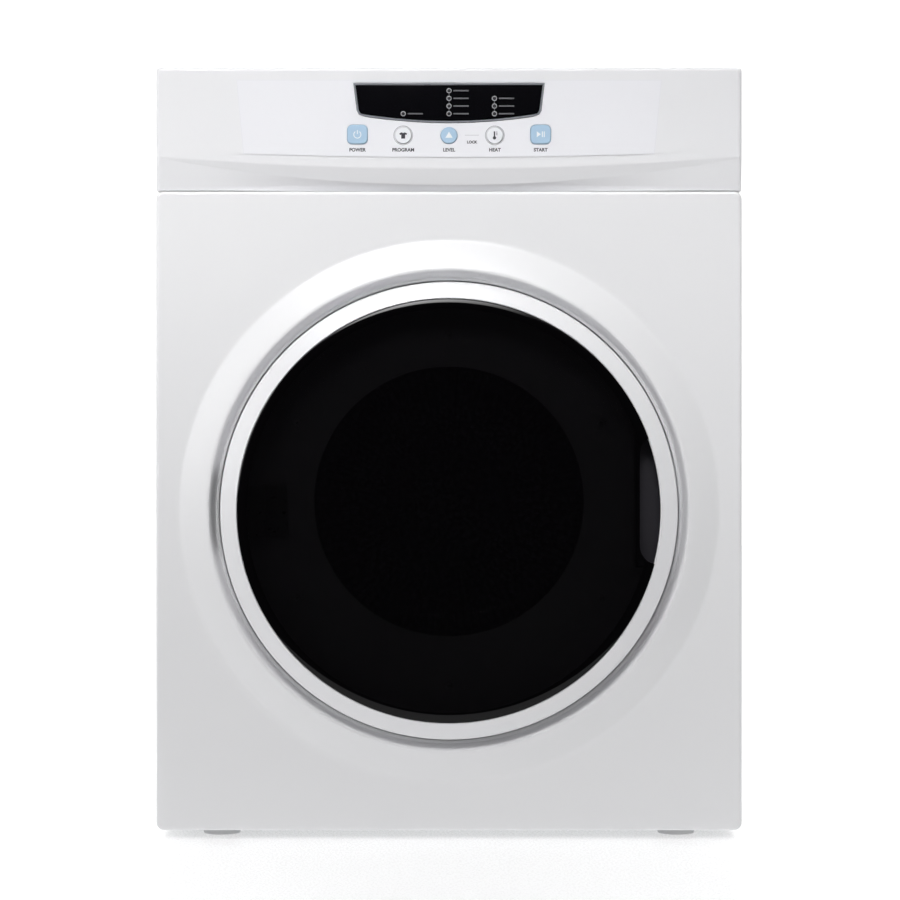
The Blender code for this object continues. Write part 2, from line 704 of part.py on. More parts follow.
def build_door():
    """Round door on a vertical pin at its left edge."""
    pivot = add_pivot("door_axis", HINGE_X, HINGE_FORWARD, AXIS_Z)
    centre = (0, AXIS_Z)
    notch_low = AXIS_Z - HINGE_NOTCH
    notch_high = AXIS_Z + HINGE_NOTCH
    pocket_low = AXIS_Z - 0.054
    pocket_high = AXIS_Z + 0.076
    rim = 0.026
    seat = 0.0226
    wall = DOOR_RADIUS - 0.0035
    ring = turned("door_ring", "white_plastic", [
        (GLASS_RADIUS + GAP, rim - 0.0002), (DOOR_RADIUS - 0.0018, 0.0206),
        (DOOR_RADIUS - 0.0004, 0.0196), (DOOR_RADIUS, 0.0180),
        (DOOR_RADIUS, -0.008), (wall, -0.008), (wall, 0.0145), (0.206, 0.0195),
        (0.206, seat), (GLASS_RADIUS + GAP, seat),
    ], centre, LARGE, pivot=pivot)
    cut_box(ring, (-0.25, -0.02, notch_low), (-0.205, 0.0176, notch_high), pivot)
    cut_box(ring, (0.1905, 0.010, pocket_low - 0.001), (0.2134, 0.0229, pocket_high + 0.001), pivot)

    outer_face = [(GLASS_RADIUS * share, dome(GLASS_RADIUS * share, rim)) for share in (0, 0.4, 0.75, 1)]
    glass_thickness = 0.003
    inner_face = [(radius, forward - glass_thickness) for radius, forward in reversed(outer_face)]
    glass = turned("door_glass", "tinted_glass", outer_face + inner_face, centre, LARGE, False, pivot=pivot)
    pocket_middle = ((0.192 + 0.232) / 2, (pocket_low + pocket_high) / 2)
    opening = rounded_outline(0.040, pocket_high - pocket_low, 0.010)
    combine(glass, plate_tool([opening], 0.040, 0.015, pocket_middle, pivot), "DIFFERENCE")

    build_handle_pocket(pivot, centre, pocket_low, pocket_high)

    liner = turned("door_liner", "grey_plastic", [
        (wall - GAP, -0.0015), (wall - GAP, -0.0045), (0.1705, -0.0045), (0.1700, -0.030),
        (0.1680, -0.032), (0.155, -0.032), (0.155, -0.0295), (0.1665, -0.0295), (0.1672, -0.0045),
        (0.120, -0.0045), (0.120, -0.0015),
    ], centre, LARGE, pivot=pivot)
    window_centre = (0, AXIS_Z + WINDOW_RISE)
    drill(liner, WINDOW_RADIUS, 0.01, -0.0275, window_centre, LARGE, pivot=pivot)
    cut_box(liner, (-0.25, -0.02, notch_low), (-0.203, 0.01, notch_high), pivot)
    bowl_radius = WINDOW_RADIUS - 0.0105
    turned("door_window", "clear_plastic", [
        (0, -0.0325), (bowl_radius - 0.013, -0.0310), (bowl_radius - 0.0022, -0.0250),
        (bowl_radius - 0.0005, -0.0050), (0.146, -0.0050), (0.146, -0.0072),
        (bowl_radius + 0.002, -0.0072), (bowl_radius, -0.0260), (bowl_radius - 0.012, -0.0330),
        (0, -0.0345),
    ], window_centre, LARGE, False, pivot=pivot)
    turned("door_gasket", "rubber", [
        (0.1890, -0.0049), (0.1870, -0.0196), (0.1850, -0.0196), (0.1820, -0.0049),
    ], centre, LARGE, pivot=pivot)
    build_hook(pivot)
    build_hinge(pivot)
    build_latch()


def build_handle_pocket(pivot, centre, low, high):
    """Finger pull in the right edge: a cup behind the gap between glass and ring."""
    cup = block("door_handle", "dark_plastic", (0.1880, 0.001, low - 0.003), (0.2235, 0.0228, high + 0.003),
                pivot)
    limit = turned_tool(rod_profile(DOOR_RADIUS - 0.0045, 0.05, -0.02), centre, LARGE, False, pivot=pivot)
    combine(cup, limit, "INTERSECT")
    clear_of_ring = tube_profile(0.2052, 0.26, 0.05, 0.0135)
    combine(cup, turned_tool(clear_of_ring, centre, LARGE, pivot=pivot), "DIFFERENCE")
    hollow_low = (0.1904, 0.003, low - 0.001)
    hollow_high = (0.2215, 0.05, high + 0.001)
    hollow_mesh, hollow_middle = centred_box("tool", hollow_low, hollow_high)
    hollow = add_tool(hollow_mesh, hollow_middle, pivot=pivot)
    inside = turned_tool(rod_profile(DOOR_RADIUS - 0.0065, 0.06, -0.03), centre, LARGE, False, pivot=pivot)
    combine(hollow, inside, "INTERSECT")
    combine(cup, hollow, "DIFFERENCE", "MANIFOLD")


def build_hook(pivot):
    """Strike plate on the liner, with the tongue that the latch holds."""
    z = AXIS_Z + LATCH_RISE
    hook = block("door_hook", "steel", (0.1925, -0.0075, z - 0.022), (0.2095, -0.0049, z + 0.022), pivot)
    join_box(hook, (LATCH_X - 0.004, -0.040, z - 0.006), (LATCH_X + 0.004, -0.006, z + 0.006), pivot)
    cut_box(hook, (LATCH_X - 0.010, -0.035, z - 0.003), (LATCH_X + 0.010, -0.028, z + 0.003), pivot)


def build_latch():
    """Latch box behind the front bulkhead, open to the hook."""
    z = AXIS_Z + LATCH_RISE
    back = BULKHEAD_FRONT - SHEET - GAP
    latch = block("door_latch", "grey_plastic", (LATCH_X - 0.015, -0.0480, z - 0.024),
                  (LATCH_X + 0.018, back, z + 0.024))
    cut_box(latch, (LATCH_X - 0.009, -0.0455, z - 0.010), (LATCH_X + 0.009, 0, z + 0.010))


def build_hinge(pivot):
    """Fixed bracket with two leaning lugs, the pin through them, and the door's arm between them."""
    centre = (HINGE_X, depth(HINGE_FORWARD), AXIS_Z)
    lug_low = 0.029
    lug_high = 0.034
    bracket = block(
        "hinge_bracket", "steel", (-0.2135, RECESS_FLOOR + GAP, AXIS_Z - 0.037),
        (-0.1915, RECESS_FLOOR + GAP + 0.0025, AXIS_Z + 0.037),
    )
    lean = [(-0.0040, 0.0027), (-0.0046, -0.0018), (-0.0008, -0.009), (0.0034, -0.018), (0.0060, -0.0297),
            (0.0180, -0.0297), (0.0110, -0.018), (0.0060, -0.006), (0.0047, 0.001)]
    outline = [(HINGE_X + across, FRONT_Y - HINGE_FORWARD - forward) for across, forward in lean]
    for side in (-1, 1):
        middle = AXIS_Z + side * (lug_low + lug_high) / 2
        mesh = plate_mesh("tool", [outline], lug_high - lug_low)
        combine(bracket, add_tool(mesh, (0, 0, middle)), "UNION")
        eye = rod_profile(0.0050, (lug_high - lug_low) / 2, (lug_low - lug_high) / 2)
        place = (centre[0], centre[1], middle)
        combine(bracket, turned_tool(eye, place, SMALL, False, FACING_UP), "UNION")
    drill(bracket, 0.0031, 0.06, -0.06, centre, TINY, FACING_UP)
    turned("hinge_pin", "steel", rod_profile(0.0028, 0.036, -0.036), centre, TINY, False, FACING_UP)
    arm = turned("hinge_arm", "steel", rod_profile(0.0050, 0.0284, -0.0284), centre, SMALL, False,
                 FACING_UP, pivot)
    join_box(arm, (-0.2150, 0.0107, AXIS_Z - 0.026), (-0.1860, 0.0137, AXIS_Z + 0.026), pivot)
    join_box(arm, (-0.1885, -0.0010, AXIS_Z - 0.026), (-0.1860, 0.0132, AXIS_Z + 0.026), pivot)
    join_box(arm, (-0.1885, -0.0011, AXIS_Z - 0.026), (-0.1640, 0.0012, AXIS_Z + 0.026), pivot)
    drill(arm, 0.0032, 0.06, -0.06, centre, TINY, FACING_UP, pivot)


# ---- drum ----

def build_drum():
    """Drum with its lifters, turning on a rear shaft and two front rollers."""
    pivot = add_pivot("drum_axis", 0, (DRUM_FRONT + DRUM_REAR) / 2, AXIS_Z)
    centre = (0, AXIS_Z)
    shell = 0.0008
    inner = DRUM_RADIUS - shell
    neck = 0.1962
    turned("drum_shell", "stainless", [
        (0, DRUM_REAR + shell), (inner - 0.002, DRUM_REAR + shell), (inner, DRUM_REAR + shell + 0.002),
        (inner, DRUM_FRONT - shell), (neck, -0.0632), (neck, -0.0510), (neck + shell, -0.0510),
        (neck + shell, -0.0624), (DRUM_RADIUS, DRUM_FRONT), (DRUM_RADIUS, DRUM_REAR + 0.002),
        (DRUM_RADIUS - 0.002, DRUM_REAR), (0, DRUM_REAR),
    ], centre, LARGE, False, pivot=pivot)
    lifter = [(-0.034, 0.2495), (0.034, 0.2495), (0.026, 0.2340), (0.013, 0.2010), (0.006, 0.1955),
              (-0.006, 0.1955), (-0.013, 0.2010), (-0.026, 0.2340)]
    front = DRUM_FRONT - 0.020
    back = DRUM_REAR + 0.012
    for number in range(3):
        name = "drum_baffle_" + str(number + 1)
        mesh = plate_mesh(name, [lifter], front - back)
        location = (0, depth((front + back) / 2), AXIS_Z)
        rotation = (math.radians(90), math.radians(120 * number + 60), 0)
        add_part(name, mesh, "grey_plastic", location, rotation, pivot)
    turned("drum_shaft", "steel", [
        (0, DRUM_REAR - GAP), (0.060, DRUM_REAR - GAP), (0.060, DRUM_REAR - 0.0035),
        (0.010, DRUM_REAR - 0.0035), (0.010, -0.454), (0, -0.454),
    ], centre, MEDIUM, False, pivot=pivot)
    back_face = REAR_BULKHEAD - SHEET - GAP
    turned("shaft_bearing", "steel", [
        (0.045, back_face), (0.045, back_face - 0.0035), (0.026, back_face - 0.0035),
        (0.026, -0.450), (0.0106, -0.450), (0.0106, back_face),
    ], centre, MEDIUM)
    turned("front_seal", "felt", tube_profile(OPENING_RADIUS + SHEET + GAP, 0.1952, -0.0510, -0.0555),
           centre, LARGE)
    turned("rear_seal", "felt", tube_profile(0.226, 0.236, DRUM_REAR - 0.0006, REAR_BULKHEAD + GAP),
           centre, LARGE)
    for side, middle in roller_centres().items():
        roller_pivot = add_pivot("roller_axis_" + side, middle[0], -0.084, middle[1])
        turned("support_roller_" + side, "rubber", [
            (ROLLER_RADIUS - 0.001, -0.075), (ROLLER_RADIUS, -0.076), (ROLLER_RADIUS, -0.092),
            (ROLLER_RADIUS - 0.001, -0.093), (0.0066, -0.093), (0.0066, -0.075),
        ], middle, SMALL, pivot=roller_pivot)


# ---- drive ----

def belt_loops():
    """Outer and inner edge of the belt round drum, motor pulley and tensioner, in the front view."""
    clearance = 0.0012
    loops = []
    for edge in (BELT_THICKNESS / 2, -BELT_THICKNESS / 2):
        half = BELT_THICKNESS / 2 + clearance
        circles = [
            (Vector((0, AXIS_Z)), DRUM_RADIUS + half + edge, LARGE),
            (Vector((IDLER_X, IDLER_Z)), -(IDLER_RADIUS + half - edge), MEDIUM),
            (Vector((MOTOR_X, MOTOR_Z)), PULLEY_RADIUS + half + edge, MEDIUM),
        ]
        loops.append(wrap_circles(circles))
    return loops


def wrap_circles(circles):
    """Closed line that wraps each circle, anticlockwise for a positive radius."""
    headings = []
    for index, (centre, radius, _steps) in enumerate(circles):
        following, next_radius, _steps = circles[(index + 1) % len(circles)]
        span = following - centre
        lean = math.asin((radius - next_radius) / span.length)
        headings.append(math.atan2(span.y, span.x) + lean)
    points = []
    for index, (centre, radius, steps) in enumerate(circles):
        start = headings[index - 1]
        turn = (headings[index] - start) % math.tau
        if radius < 0:
            turn -= math.tau
        pieces = max(3, round(abs(turn) / math.tau * steps))
        for piece in range(pieces + 1):
            heading = start + turn * piece / pieces
            points.append((centre.x + radius * math.sin(heading), centre.y - radius * math.cos(heading)))
    return points


def build_drive():
    """Motor with its shaft, the belt and the sprung tensioner that keeps it tight."""
    motor_centre = (MOTOR_X, MOTOR_Z)
    motor_pivot = add_pivot("motor_axis", MOTOR_X, -0.255, MOTOR_Z)
    turned("motor", "steel", [
        (0.016, -0.190), (0.016, -0.195), (0.040, -0.195), (MOTOR_RADIUS, -0.200), (MOTOR_RADIUS, -0.310),
        (0.040, -0.315), (0.016, -0.315), (0.016, -0.320), (0.0056, -0.320), (0.0056, -0.190),
    ], motor_centre, MEDIUM)
    flange = PULLEY_RADIUS + 0.004
    turned("motor_shaft", "steel", [
        (0, -0.108), (0.005, -0.108), (0.005, -0.3335), (flange, -0.3335), (flange, -0.3355),
        (PULLEY_RADIUS, -0.3360), (PULLEY_RADIUS, -0.3460), (flange, -0.3465), (flange, -0.3485),
        (0, -0.3485),
    ], motor_centre, SMALL, False, pivot=motor_pivot)
    floor = BOTTOM_Z + SHEET + GAP
    bracket = block("motor_bracket", "galvanised", (0.168, -0.285, floor), (0.252, -0.230, 0.082))
    drill(bracket, MOTOR_RADIUS + GAP + 0.0002, -0.2, -0.3, motor_centre, MEDIUM)
    post = turned_tool(rod_profile(0.004, -0.280, -0.358), (ARM_PIVOT_X, ARM_PIVOT_Z), TINY, False)
    combine(bracket, post, "UNION")
    plate("drive_belt", "rubber", belt_loops(), BELT_PLANE + BELT_WIDTH / 2, BELT_PLANE - BELT_WIDTH / 2)

    arm_pivot = add_pivot("tension_arm_axis", ARM_PIVOT_X, -0.352, ARM_PIVOT_Z)
    reach = Vector((IDLER_X - ARM_PIVOT_X, IDLER_Z - ARM_PIVOT_Z))
    heading = math.degrees(math.atan2(reach.y, reach.x))
    outline = arc((0, 0), 0.009, heading + 90, heading + 270, 6)
    outline += arc((reach.x, reach.y), 0.007, heading - 90, heading + 90, 6)
    arm = plate("tension_arm", "steel", [outline], -0.3500, -0.3530, arm_pivot, (ARM_PIVOT_X, ARM_PIVOT_Z))
    axle = turned_tool(rod_profile(0.003, -0.3340, -0.3515), (IDLER_X, IDLER_Z), TINY, False, pivot=arm_pivot)
    combine(arm, axle, "UNION")
    drill(arm, 0.0044, -0.34, -0.36, (ARM_PIVOT_X, ARM_PIVOT_Z), TINY, pivot=arm_pivot)
    idler_pivot = add_pivot("idler_axis", IDLER_X, BELT_PLANE, IDLER_Z)
    turned("tension_pulley", "grey_plastic", tube_profile(0.0034, IDLER_RADIUS, -0.3350, -0.3475),
           (IDLER_X, IDLER_Z), SMALL, pivot=idler_pivot)
    build_tension_spring()


def build_tension_spring():
    """Torsion spring coiled round the tensioner's post."""
    turns = 4
    steps = 8
    coil_radius = 0.0072
    wire_radius = 0.0009
    first = -0.300
    last = -0.330
    total = turns * steps
    places = []
    for step in range(total + 1):
        angle = math.tau * step / steps
        forward = first + (last - first) * step / total
        places.append((coil_radius * math.cos(angle), -forward, coil_radius * math.sin(angle)))
    tail = (places[-1][0], places[-1][1] + 0.004, places[-1][2] + 0.018)
    places.append(tail)
    wire("tension_spring", "steel", places, wire_radius, (ARM_PIVOT_X, FRONT_Y, ARM_PIVOT_Z))


# ---- air path ----

def build_lint_path():
    """Lint filter in the door sill, and the flat duct that leads from it to the blower."""
    outline = [(-0.086, 0.045), (0.262, 0.045), (0.262, 0.140), (0.086, 0.140), (0.086, 0.182),
               (-0.086, 0.182)]
    duct = plate("lint_duct", "grey_plastic", [outline], -0.0255, -0.0500)
    sill = rod_profile(OPENING_RADIUS + SHEET + GAP, 0.0, -0.1)
    combine(duct, turned_tool(sill, (0, AXIS_Z), LARGE, False), "DIFFERENCE")
    wall = 0.0018
    hollow = [(-0.086 + wall, 0.045 + wall), (0.262 - wall, 0.045 + wall), (0.262 - wall, 0.140 - wall),
              (0.086 - wall, 0.140 - wall), (0.086 - wall, 0.200), (-0.086 + wall, 0.200)]
    combine(duct, plate_tool([hollow], -0.0255 - wall, -0.0500 + wall), "DIFFERENCE")
    drill(duct, 0.036, -0.045, -0.06, (MOTOR_X, MOTOR_Z), MEDIUM)

    sill_radius = OPENING_RADIUS - 0.0005
    grip = [(-0.074, 0.064), (0.074, 0.064)]
    half = math.degrees(math.asin(0.074 / sill_radius))
    grip += arc((0, AXIS_Z), sill_radius, 270 + half, 270 - half, 8)
    frame = plate("lint_filter", "blue_plastic", [grip], -0.0370, -0.0450)
    window = rounded_outline(0.130, 0.062, 0.008, centre=(0, 0.106))
    screen = plate_tool([window], -0.0300, -0.0400)
    combine(frame, screen, "DIFFERENCE")
    rear_screen = plate_tool([window], -0.0412, -0.0500)
    combine(frame, rear_screen, "DIFFERENCE")


def build_blower():
    """Blower housing with its front neck and side outlet, and the wheel inside."""
    centre = (MOTOR_X, MOTOR_Z)
    outlet_z = 0.046
    outlet_forward = -0.136
    housing = turned("blower_housing", "grey_plastic", rod_profile(BLOWER_RADIUS, -0.103, -0.168), centre,
                     MEDIUM, False)
    neck = rod_profile(0.038, -0.0503, -0.105)
    combine(housing, turned_tool(neck, centre, MEDIUM, False), "UNION")
    outlet_place = (MOTOR_X, depth(outlet_forward), outlet_z)
    spout = rod_profile(DUCT_RADIUS + 0.0026, 0.072, 0.0)
    combine(housing, turned_tool(spout, outlet_place, SMALL, False, FACING_LEFT), "UNION")
    drill(housing, BLOWER_RADIUS - 0.002, -0.105, -0.166, centre, MEDIUM)
    drill(housing, 0.036, -0.04, -0.12, centre, MEDIUM)
    drill(housing, 0.008, -0.15, -0.18, centre, SMALL)
    drill(housing, DUCT_RADIUS + 0.0006, 0.08, 0.0, outlet_place, SMALL, FACING_LEFT)

    motor_pivot = bpy.data.objects["motor_axis"]
    wheel = turned("blower_wheel", "grey_plastic", tube_profile(0.0054, 0.048, -0.157, -0.160), centre,
                   MEDIUM, pivot=motor_pivot)
    hub = tube_profile(0.0054, 0.010, -0.130, -0.1575)
    combine(wheel, turned_tool(hub, centre, MEDIUM, pivot=motor_pivot), "UNION")
    blades = bmesh.new()
    blade_count = 9
    for number in range(blade_count):
        swing = Matrix.Rotation(math.tau * number / blade_count, 4, "Y")
        shift = Matrix.Translation((0.038, depth(-0.1385) - FRONT_Y, 0)) @ Matrix.Rotation(0.5, 4, "Y")
        size = Matrix.Diagonal((0.018, 0.0390, 0.0016, 1))
        bmesh.ops.create_cube(blades, size=1.0, matrix=swing @ shift @ size)
    blade_tool = add_tool(finish_mesh(blades, "tool"), (MOTOR_X, FRONT_Y, MOTOR_Z), pivot=motor_pivot)
    combine(wheel, blade_tool, "UNION", "MANIFOLD")
    rim = tube_profile(0.040, 0.049, -0.114, -0.120)
    combine(wheel, turned_tool(rim, centre, MEDIUM, pivot=motor_pivot), "UNION", "MANIFOLD")


def exhaust_route():
    """Centre line of the exhaust duct, from the blower's outlet to the rear panel."""
    start_forward = -0.136
    low_z = 0.046
    bend = 0.065
    route = [(MOTOR_X - 0.066, start_forward, low_z), (0.040, start_forward, low_z)]
    corner_x = EXHAUST_X + bend
    for step in range(7):
        angle = math.radians(90 * step / 6)
        route.append((corner_x - bend * math.sin(angle), start_forward - bend * (1 - math.cos(angle)), low_z))
    route.append((EXHAUST_X, -0.330, low_z + 0.004))
    route.append((EXHAUST_X, -0.400, 0.068))
    route.append((EXHAUST_X, REAR + 0.003, EXHAUST_Z))
    return route


def build_exhaust():
    """Round duct under the drum to the collar on the back."""
    places = [(x, depth(forward), z) for x, forward, z in exhaust_route()]
    line = round_curve("exhaust_duct", places, DUCT_RADIUS, 4, False)
    duct = add_part("exhaust_duct", welded_mesh("exhaust_duct_line", line), "galvanised")
    add_thickness(duct, SHEET)
    turned("exhaust_collar", "white_plastic", [
        (0.0490, REAR + 0.006), (0.0490, REAR - GAP), (0.062, REAR - GAP), (0.062, REAR - 0.0030),
        (0.0500, REAR - 0.0040), (0.0490, REAR - COLLAR_REACH), (0.0470, REAR - COLLAR_REACH),
        (0.0470, REAR + 0.006),
    ], (EXHAUST_X, EXHAUST_Z), MEDIUM)


def build_heater():
    """Heater box on the back of the rear bulkhead, with its element."""
    front = REAR_BULKHEAD - SHEET - GAP
    housing = open_tray("heater_housing", "galvanised", (0.105, -0.474, 0.200), (0.255, front, 0.470),
                        (0, 0, -1))
    cut_box(housing, (0.125, front - 0.01, 0.350), (0.190, front + 0.01, 0.440))
    rows = 6
    wire_radius = 0.0035
    places = []
    for row in range(rows):
        ends = (0.122, 0.238) if row % 2 == 0 else (0.238, 0.122)
        for x in ends:
            places.append((x, depth(-0.448), 0.220 + 0.018 * row))
    wire("heater_coil", "heater_wire", places, wire_radius)


build_front_panel()
build_cabinet()
build_bulkheads()
build_feet()
build_console()
build_door()
build_drum()
build_drive()
build_lint_path()
build_blower()
build_exhaust()
build_heater()
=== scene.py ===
"""Looks of the compact clothes dryer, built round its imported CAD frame.

Metres, +Z up, front facing -Y. Depths are "forward" distances from the flat of the front panel:
positive towards the viewer, negative into the cabinet.
"""

import math

import bmesh
import bpy
from mathutils import Matrix, Vector


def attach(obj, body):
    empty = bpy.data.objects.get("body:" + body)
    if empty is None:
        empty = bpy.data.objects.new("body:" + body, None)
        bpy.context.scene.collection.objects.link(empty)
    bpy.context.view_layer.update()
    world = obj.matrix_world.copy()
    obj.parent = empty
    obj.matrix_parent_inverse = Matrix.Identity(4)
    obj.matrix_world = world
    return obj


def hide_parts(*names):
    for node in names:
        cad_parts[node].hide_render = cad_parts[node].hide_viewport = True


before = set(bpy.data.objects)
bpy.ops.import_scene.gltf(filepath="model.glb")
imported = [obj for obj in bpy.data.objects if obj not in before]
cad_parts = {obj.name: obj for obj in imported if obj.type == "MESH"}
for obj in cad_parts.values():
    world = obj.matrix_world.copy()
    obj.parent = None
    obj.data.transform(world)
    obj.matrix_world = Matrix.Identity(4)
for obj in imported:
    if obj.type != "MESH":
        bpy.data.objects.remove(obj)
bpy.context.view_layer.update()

# ---- sizes shared with the CAD part ----
HALF_WIDTH = 0.2975
FRONT_Y = -0.248
BOTTOM_Z = 0.010
PANEL_TOP_Z = 0.659
CONSOLE_LOW_Z = PANEL_TOP_Z + 0.0012
TOP_Z = 0.785
AXIS_Z = 0.335
FRONT_FRAME = 0.032
LID = 0.020
REAR = -0.500
RECESS_FLOOR = -0.020
SHEET = 0.001
DOOR_RADIUS = 0.231
GLASS_RADIUS = 0.2136
OPENING_RADIUS = 0.178
WINDOW_RADIUS = 0.137
WINDOW_Z = AXIS_Z + 0.009
BUTTON_PITCH = 0.0465
SQUARE_Z = TOP_Z - 0.0684
ROUND_Z = SQUARE_Z - 0.0010
DRUM_FRONT = -0.068
DRUM_REAR = -0.403
DRUM_RADIUS = 0.255
EXHAUST = (-0.195, 0.076)
LATCH = (0.201, AXIS_Z + 0.046)
POCKET_LOW = AXIS_Z - 0.054
POCKET_HIGH = AXIS_Z + 0.076
DOOR_CENTRE = (0, AXIS_Z)

# ---- how fine the meshes are ----
ROUND = 192
SMALL_ROUND = 40
SMOOTH_ANGLE = math.radians(30)


# ---- places and outlines ----

def depth(forward):
    """World Y of a plane this far forward of the front panel."""
    return FRONT_Y - forward


def arc(centre, radius, start_degrees, end_degrees, steps):
    """Points along a round, in the plane of the two coordinates given."""
    points = []
    for step in range(steps + 1):
        angle = math.radians(start_degrees + (end_degrees - start_degrees) * step / steps)
        points.append((centre[0] + radius * math.cos(angle), centre[1] + radius * math.sin(angle)))
    return points


def circle(radius, steps=SMALL_ROUND, centre=(0, 0)):
    """A round outline."""
    return arc(centre, radius, 0, 360 - 360 / steps, steps - 1)


def rounded_outline(width, height, radius, steps=8, centre=(0, 0)):
    """A rounded rectangle, as (x, z) points."""
    points = []
    for sign_x, sign_z, start in ((1, 1, 0), (-1, 1, 90), (-1, -1, 180), (1, -1, 270)):
        corner = (centre[0] + sign_x * (width / 2 - radius), centre[1] + sign_z * (height / 2 - radius))
        points += arc(corner, radius, start, start + 90, steps)
    return points


def rectangle(left, low, right, high):
    """A rectangle's corners, as (x, z) points."""
    return [(left, low), (right, low), (right, high), (left, high)]


def moved(outline, centre):
    """An outline shifted to a centre."""
    return [(x + centre[0], z + centre[1]) for x, z in outline]


def hanging_edge(half_width, middle, end_rise):
    """A lower edge from left to right that hangs in the middle."""
    shares = [step / 16 - 1 for step in range(33)]
    return [(half_width * share, middle + end_rise * share ** 2) for share in shares]


def display_outline(grow=0.0):
    """Display with a straight top, tapering sides and a curved lower edge."""
    lower = hanging_edge(0.0845 + grow * 0.6, TOP_Z - 0.0556 - grow, 0.0063)
    right = [(0.0905 + grow * 0.8, TOP_Z - 0.0476 - grow * 0.5), (0.0926 + grow, TOP_Z - 0.0440),
             (0.0960 + grow, TOP_Z - 0.0172 + grow)]
    left = [(-x, z) for x, z in right[::-1]]
    return left + lower + right


def film_outline(grow=0.0):
    """Label film, whose lower edge hangs a little in the middle."""
    half_top = 0.216 + grow
    top = TOP_Z - 0.0128 + grow
    lower = hanging_edge(0.209 + grow, TOP_Z - 0.0915 - grow, 0.0035)
    return [(-half_top, top)] + lower + [(half_top, top)]


def button_outline(shape, grow=0.0):
    """Outline of a button, about its own centre."""
    if shape == "square":
        return rounded_outline(0.0205 + 2 * grow, 0.0195 + 2 * grow, 0.005 + grow)
    return circle(0.0084 + grow)


def button_layout():
    """Name, x, z and shape of each button, left to right."""
    return [
        ("power_button", -2 * BUTTON_PITCH, SQUARE_Z, "square"),
        ("program_button", -BUTTON_PITCH, ROUND_Z, "round"),
        ("level_button", 0.0, ROUND_Z, "round"),
        ("heat_button", BUTTON_PITCH, ROUND_Z, "round"),
        ("start_button", 2 * BUTTON_PITCH, SQUARE_Z, "square"),
    ]


def console_holes(display_gap, button_gap):
    """Outlines of the openings for the display and the buttons, with a gap round each."""
    holes = [display_outline(display_gap)]
    holes += [moved(button_outline(shape, button_gap), (x, z)) for _name, x, z, shape in button_layout()]
    return holes


def glass_forward(radius):
    """Forward place of the domed glass at a radius."""
    return 0.026 + 0.008 * (1 - (radius / GLASS_RADIUS) ** 2)


# ---- materials ----

# most of a noise pattern lies between these values
PATTERN_LOW = 0.3
PATTERN_HIGH = 0.7


class Finish:
    """A Principled material with its node tree at hand."""

    def __init__(self, name, colour, roughness, metallic=0.0):
        self.material = bpy.data.materials.new(name)
        self.material.use_nodes = True
        self.nodes = self.material.node_tree.nodes
        self.links = self.material.node_tree.links
        self.shader = self.nodes["Principled BSDF"]
        self.shader.inputs["Base Color"].default_value = (*colour, 1)
        self.shader.inputs["Roughness"].default_value = roughness
        self.shader.inputs["Metallic"].default_value = metallic
        self.place = self.nodes.new("ShaderNodeTexCoord").outputs["Object"]

    def texture(self, kind, scale, place):
        """A texture node of this many features per metre."""
        node = self.nodes.new(kind)
        node.inputs["Scale"].default_value = scale
        self.links.new(place, node.inputs["Vector"])
        return node

    def noise(self, scale, detail=3.0, stretch=None):
        """A noise pattern of this many features per metre, finer along the axes stretched."""
        place = self.place
        if stretch:
            mapping = self.nodes.new("ShaderNodeMapping")
            mapping.inputs["Scale"].default_value = stretch
            self.links.new(place, mapping.inputs["Vector"])
            place = mapping.outputs["Vector"]
        pattern = self.texture("ShaderNodeTexNoise", scale, place)
        pattern.inputs["Detail"].default_value = detail
        return pattern.outputs["Fac"]

    def bump(self, height, distance):
        """Raise and lower the surface by a pattern, this many metres."""
        bump = self.nodes.new("ShaderNodeBump")
        bump.inputs["Distance"].default_value = distance
        self.links.new(height, bump.inputs["Height"])
        self.links.new(bump.outputs["Normal"], self.shader.inputs["Normal"])

    def vary(self, socket, pattern, low, high):
        """Let a plain value follow a pattern between two values."""
        spread = self.nodes.new("ShaderNodeMapRange")
        spread.inputs["From Min"].default_value = PATTERN_LOW
        spread.inputs["From Max"].default_value = PATTERN_HIGH
        spread.inputs["To Min"].default_value = low
        spread.inputs["To Max"].default_value = high
        self.links.new(pattern, spread.inputs["Value"])
        self.links.new(spread.outputs["Result"], self.shader.inputs[socket])

    def tint(self, pattern, dark, light):
        """Let the colour follow a pattern between two colours."""
        ramp = self.nodes.new("ShaderNodeValToRGB")
        stops = zip(ramp.color_ramp.elements, (PATTERN_LOW, PATTERN_HIGH), (dark, light))
        for stop, position, colour in stops:
            stop.position = position
            stop.color = (*colour, 1)
        self.links.new(pattern, ramp.inputs["Fac"])
        self.links.new(ramp.outputs["Color"], self.shader.inputs["Base Color"])

    def maths(self, operation, first, second=None):
        """One sum on node outputs or plain numbers."""
        node = self.nodes.new("ShaderNodeMath")
        node.operation = operation
        for socket, value in zip(node.inputs, (first, second)):
            if isinstance(value, (int, float)):
                socket.default_value = value
            elif value is not None:
                self.links.new(value, socket)
        return node.outputs["Value"]

    def axes(self):
        """X, Y and Z of the place on the piece."""
        split = self.nodes.new("ShaderNodeSeparateXYZ")
        self.links.new(self.place, split.inputs["Vector"])
        return split.outputs

    def length(self, first, second):
        """How long a line is that runs this far along each of two square directions."""
        squares = [self.maths("POWER", side, 2.0) for side in (first, second)]
        return self.maths("SQRT", self.maths("ADD", *squares))


def make_enamel():
    """Stoved white enamel with a faint orange peel."""
    finish = Finish("white_enamel", (0.80, 0.80, 0.815), 0.34)
    finish.tint(finish.noise(3.0), (0.792, 0.792, 0.808), (0.808, 0.808, 0.822))
    finish.vary("Roughness", finish.noise(60.0), 0.335, 0.345)
    finish.bump(finish.noise(420.0, 1.0), 0.00002)
    return finish.material


